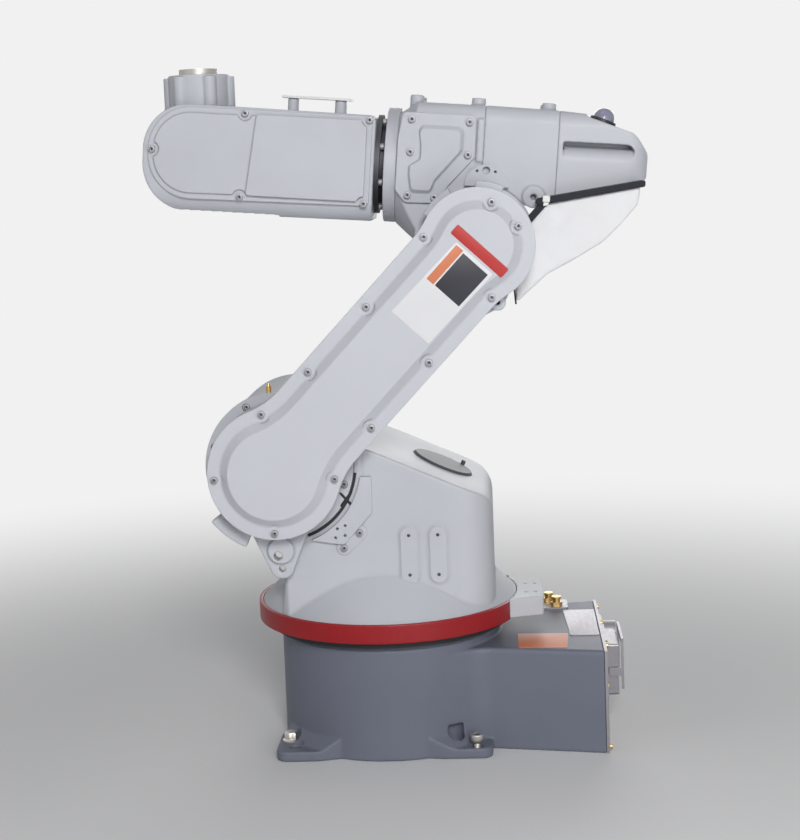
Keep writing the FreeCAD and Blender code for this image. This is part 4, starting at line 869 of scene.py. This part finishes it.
armPlates = {"level": 149.0, "sink": 0.25, "low": 0.35, "high": 0.45, "soft": 0.12, "steps": 6}
plateSets = [
    ("plateWhiteArm", "low", plateWhite,
     [(17.2, 284.4, 1.5), (-28.9, 284.4, 1.5), (-27.2, 194.8, 1.5), (19.5, 194.8, 1.5)]),
    ("plateRedArm", "low", plateRed, [(27, 298, 1.5), (-37, 298, 1.5), (-37, 287, 1.5), (27, 287, 1.5)]),
    ("plateOrangeArm", "high", bareOrange,
     [(15.2, 282.6, 0.6), (6.6, 282.6, 0.6), (6.6, 240, 0.6), (15.2, 240, 0.6)]),
    ("plateDarkArm", "high", plateDark,
     [(5.2, 281, 0.6), (-25.8, 281, 0.6), (-25.2, 240.5, 0.6), (5.2, 240.5, 0.6)]),
]
for name, rise, coat, corners in plateSets:
    a = armPlates
    low = a["level"] - a["sink"]
    plate = prism("y", corners, low, low + a["sink"] + a[rise], a["soft"], a["steps"])
    piece(name, plate, "lower_arm", coat, place=armPlace, crease=30)
boxPlates = {"top": 104.0, "sink": 0.2, "soft": 0.1, "steps": 6}
boxSets = [
    ("plateOrangeBase", 0.4, bareOrange, "base_paint",
     [(-132, 30, 1.5), (-184, 33, 1.5), (-181, 86, 1.5), (-132, 82, 1.5)]),
    ("plateMetalBase", 0.8, panelMetal, "panel_metal",
     [(-182, -58, 1.5), (-215.5, -58, 1.5), (-215.5, 42, 1.5), (-186, 42, 1.5)]),
]
for name, rise, coat, slot, corners in boxSets:
    a = boxPlates
    plate = prism("z", corners, a["top"] - a["sink"], a["top"] + rise, a["soft"], a["steps"])
    piece(name, plate, "base", coat, crease=30)


# tapped pads on the column's near wall

padLook = {
    "x": (-26.8, -55.7), "low": 184.0, "high": 224.0, "wide": 17.0, "seat": 91.4, "face": 94.25,
    "hole": 1.7, "bore": 2.2, "plug": (1.6, 0.45), "gap": 0.05, "rim": 0.9, "groove": (0.66, 0.7),
    "grain": 0.35, "soft": 0.5, "steps": 12, "holeSteps": 24,
}


def padRods(p, x, r, low, high):
    # one round rod in each hole of the pad at x
    return joined(*[rod("y", r, low, high, x, z, p["holeSteps"]) for z in (p["low"], p["high"])])


for number, x in enumerate(padLook["x"]):
    p = padLook
    half = p["wide"] / 2
    turn = half - p["gap"]
    corners = [(x - half, p["low"] - half, turn), (x + half, p["low"] - half, turn),
               (x + half, p["high"] + half, turn), (x - half, p["high"] + half, turn)]
    pad = prism("y", corners, p["seat"], p["face"], p["soft"], p["steps"], both=False)
    drilled = cut(pad, padRods(p, x, p["hole"], p["face"] - p["bore"], p["face"] + 1))
    rounded = cast(drilled, p["grain"], 2, 0.5)
    piece("tappedPad%d" % (number + 1), rounded, "column", armPaint, crease=0)
    # painted shade: a dark ring sheet just above the seat round each pad stands in for the shade in the
    # groove around it
    steps = [(0, p["seat"]), (0, p["seat"] + p["groove"][0]), (p["rim"], p["seat"] + p["groove"][1])]
    groove = levels("y", lambda inset: roundedLoop(corners, inset - p["rim"], p["steps"]), steps)
    piece("padGrooveShade%d" % (number + 1), groove, "column", seamShade, crease=30)
    # painted shade: dark discs sunk a little in each tapped hole stand in for the shade inside the holes
    plugs = padRods(p, x, p["hole"] - p["gap"], p["face"] - p["plug"][0], p["face"] - p["plug"][1])
    piece("padHoleShade%d" % (number + 1), plugs, "column", seamShade, crease=30)


# black tie round the lead at the shoulder flange

tieLook = {"spot": (33.6, 95.6, 262.8), "half": 9.0, "wide": 1.3, "turns": (48, 128), "flat": 0.5,
           "bow": [(-1, 0.0), (-0.5, 0.5), (0, 0.9), (0.5, 0.5), (1, 0.0)]}  # share of the half, height
for number, turn in enumerate(tieLook["turns"]):
    a = math.radians(turn)
    run = Vector((math.cos(a), 0, math.sin(a))) * tieLook["half"]
    bow = [Vector(tieLook["spot"]) + run * share + Vector((0, rise, 0)) for share, rise in tieLook["bow"]]
    tie = cordTube(smoothPath(bow, 5), tieLook["wide"], 10, tieLook["flat"])
    piece("leadTie%d" % (number + 1), tie, "column", blackRubber, crease=40)


# signal lamp on the tail

def lampSeat(s):
    lip = [(s["ring"] - inset, s["ringHigh"] - down) for inset, down in s["lip"]]
    return lathe([(s["ring"], 0)] + lip, s["steps"])


def lampBulb(s):
    r, h, n = s["dome"], s["ringHigh"], s["domeArcs"]
    arcs = [math.pi / 2 * k / n for k in range(n)]
    profile = [(r, h - s["domeFoot"])]
    profile += [(r * math.cos(a), h + (r + s["domeLift"]) * math.sin(a)) for a in arcs]
    return lathe(profile + [(s["tip"], h + s["domeLift"] + r)], s["steps"])


piece("lampSeat", lampSeat(lampLook), "forearm", lampBlack, place=lampPlace, replaces=["lamp_ring"])
piece("lampDome", lampBulb(lampLook), "forearm", lampSmoke, place=lampPlace, replaces=["lamp_dome"],
      crease=60)


slotBolt = {"x": (-82.5, -78.0), "r": 2.4, "washer": 3.6, "washerX": (-79.4, -77.6), "y": 50.5, "z": 93.5,
            "soft": (0.3, 0.2), "steps": 32}
for side, name in ((1, "slotBoltNear"), (-1, "slotBoltFar")):
    b = slotBolt
    head = prism("x", [polar(b["r"], 60 * k, b["y"], b["z"]) for k in range(6)], *b["x"], b["soft"][0])
    washer = rod("x", b["washer"], *b["washerX"], b["y"], b["z"], b["steps"], b["soft"][1])
    bolt = joined(head, washer)
    piece(name, bolt if side > 0 else mirroredY(bolt), "forearm", plateDark, place=forePlace,
          crease=30)
print("lamp placed")


# cloth sleeve, strap and tie behind the elbow

sleeveLook = {
    "corners": [(-58, 40.5, 1), (-153.5, 64.5, 1), (-154, 56, 4), (-152.5, 45, 8), (-139, 27, 14),
                (-121, 6.5, 16), (-92.5, -13, 20), (-70, -27, 12), (-55.5, -42, 8), (-41, -57.5, 2),
                (-37.5, -18, 20), (-43, 14, 14)],
    "back": 66.3, "front": 88.0, "grain": 1.2, "hem": 0.25,
    "rise": [(0.3, 0.75), (1.2, 0.9), (4.0, 0.97), (9.0, 1.0)],  # in from the hem, share of the half width
    "fold": 1.3, "foldScale": 0.03, "lean": (0.9, 0.4, 0.3), "broad": (0.5, 1.7, 3.1),
    "fine": (0.11, 0.09, 7.7), "fineShare": 0.35, "bias": 0.35, "sag": 1.6,
}


def sleeveShape(look):
    # flat bag, thin at its sewn edge and a little fuller in the middle
    middle = (look["back"] + look["front"]) / 2
    half = (look["front"] - look["back"]) / 2
    hem = half * look["hem"]
    low = [(inset, middle - half * share) for inset, share in reversed(look["rise"])]
    high = [(inset, middle + half * share) for inset, share in look["rise"]]
    steps = low + [(0.0, middle - hem), (0.0, middle + hem)] + high
    bag = levels("y", lambda inset: roundedLoop(look["corners"], inset, 6), steps)
    shape = cast(bag, look["grain"], 2, 1.0)
    lean, broad, fine = look["lean"], look["broad"], look["fine"]
    points = []
    for p in shape[0]:
        side = 1 if p.y > middle else -1
        depth = min(1.0, abs(p.y - middle) / half)
        along = Vector((p.x * lean[0] + p.z * lean[1], p.z - p.x * lean[2], 0)) * look["foldScale"]
        fold = noise.noise(Vector((along.x * broad[0], along.y * broad[1], broad[2] * side)))
        crumple = noise.noise(Vector((p.x * fine[0], p.z * fine[1], fine[2] * side))) * look["fineShare"]
        drop = (fold + crumple - look["bias"]) * look["fold"] * depth
        points.append(p + Vector((0, side * min(drop, 0.0) * look["sag"], 0)))
    return points, shape[1]


strapLook = {
    "path": [(-62, 89.4, 42.5), (-57, 90.2, 36), (-50, 90.6, 27), (-42, 90.2, 15.5), (-38.6, 89.2, 5)],
    "half": 3.4, "flat": 0.3, "sides": 14,
}
strapPath = smoothPath([Vector(p) for p in strapLook["path"]])
strap = cordTube(strapPath, strapLook["half"], strapLook["sides"], strapLook["flat"])
piece("sleeveStrapShort", strap, "forearm", strapWeb, place=forePlace, crease=50)

pipingLook = {
    "path": [(-38.6, 88.9, 5), (-37.4, 88.4, -12), (-37.6, 87.6, -36), (-40.8, 86.4, -58)],
    "r": 0.9, "sides": 10,
}
pipingPath = smoothPath([Vector(p) for p in pipingLook["path"]])
piping = cordTube(pipingPath, pipingLook["r"], pipingLook["sides"])
piece("sleevePiping", piping, "forearm", strapWeb, place=forePlace, crease=0)

sleeve = piece("clothSleeve", sleeveShape(sleeveLook), "forearm", sleeveCloth, place=forePlace,
               replaces=["cable_cover"], crease=0)
print("cloth sleeve made")


# floor, walls of light and lamps

stageLook = {
    "backdrop": 0.88, "size": 9.0, "drop": 0.0005, "fade": (0.35, 1.5), "rough": 0.7, "gloss": 0.2,
    "grain": 4, "tones": (0.76, 0.80), "room": (0.90, 0.93, 1.0), "roomLight": 0.10,
}


def addFloor(look):
    bpy.ops.mesh.primitive_plane_add(size=look["size"], location=(0, 0, -look["drop"]))
    floor = bpy.context.object
    floor.name = "floor"
    m = bpy.data.materials.new("paleFloor")
    m.use_nodes = True
    tree = m.node_tree
    nodes, link = tree.nodes, tree.links.new
    shader = nodes["Principled BSDF"]
    shader.inputs["Roughness"].default_value = look["rough"]
    shader.inputs["Specular IOR Level"].default_value = look["gloss"]
    grain = nodes.new("ShaderNodeTexNoise")
    grain.inputs["Scale"].default_value = look["grain"]
    ramp = ranged(tree, grain.outputs["Fac"], (0.0, 1.0), look["tones"])
    tone = nodes.new("ShaderNodeCombineColor")
    for k in range(3):
        link(ramp.outputs["Result"], tone.inputs[k])
    link(tone.outputs["Color"], shader.inputs["Base Color"])
    reach = nodes.new("ShaderNodeVectorMath")
    reach.operation = "LENGTH"
    link(objectPlace(tree), reach.inputs[0])
    fade = ranged(tree, reach.outputs["Value"], look["fade"], (0.0, 1.0))
    fade.interpolation_type = "SMOOTHSTEP"
    path = nodes.new("ShaderNodeLightPath")
    far = combined(tree, "MULTIPLY", fade.outputs["Result"], path.outputs["Is Camera Ray"])
    pale = nodes.new("ShaderNodeEmission")
    pale.inputs["Color"].default_value = (1, 1, 1, 1)
    pale.inputs["Strength"].default_value = look["backdrop"]
    blend = nodes.new("ShaderNodeMixShader")
    link(far, blend.inputs["Fac"])
    link(shader.outputs["BSDF"], blend.inputs[1])
    link(pale.outputs["Emission"], blend.inputs[2])
    link(blend.outputs["Shader"], nodes["Material Output"].inputs["Surface"])
    floor.data.materials.append(m)


def addRoom(look):
    world = bpy.data.worlds.new("paleRoom")
    bpy.context.scene.world = world
    world.use_nodes = True
    tree = world.node_tree
    nodes, link = tree.nodes, tree.links.new
    plain = nodes["Background"]
    plain.inputs["Color"].default_value = (*look["room"], 1)
    plain.inputs["Strength"].default_value = look["roomLight"]
    white = nodes.new("ShaderNodeBackground")
    white.inputs["Color"].default_value = (1, 1, 1, 1)
    white.inputs["Strength"].default_value = look["backdrop"]
    path = nodes.new("ShaderNodeLightPath")
    shown = path.outputs["Is Camera Ray"]
    for label in ("Is Glossy Ray", "Is Transmission Ray"):
        shown = combined(tree, "MAXIMUM", shown, path.outputs[label])
    pick = nodes.new("ShaderNodeMixShader")
    link(shown, pick.inputs["Fac"])
    link(plain.outputs["Background"], pick.inputs[1])
    link(white.outputs["Background"], pick.inputs[2])
    link(pick.outputs["Shader"], nodes["World Output"].inputs["Surface"])


lamps = [
    {"name": "keyLamp", "spot": (-0.35, 2.4, 1.3), "size": 0.6, "power": 37},
    {"name": "fillLamp", "spot": (1.9, 1.3, 1.2), "size": 1.2, "power": 3.5},
    {"name": "topLamp", "spot": (0.2, 0.3, 2.5), "size": 1.0, "power": 3.5},
    {"name": "backLamp", "spot": (-0.4, -2.2, 0.9), "size": 1.3, "power": 14},
    {"name": "lowLamp", "spot": (-0.8, 1.5, 0.35), "size": 0.5, "power": 4.5},
]


lampsAim = (0, 0, 0.35)


def addLamp(lamp):
    data = bpy.data.lights.new(lamp["name"], "AREA")
    data.energy, data.size = lamp["power"], lamp["size"]
    o = bpy.data.objects.new(lamp["name"], data)
    bpy.context.scene.collection.objects.link(o)
    o.location = lamp["spot"]
    o.rotation_mode = "QUATERNION"
    o.rotation_quaternion = (Vector(lampsAim) - o.location).to_track_quat("-Z", "Y")


addFloor(stageLook)
addRoom(stageLook)
for lamp in lamps:
    addLamp(lamp)
bpy.context.scene.view_settings.view_transform = "Standard"
print("stage and lamps placed")
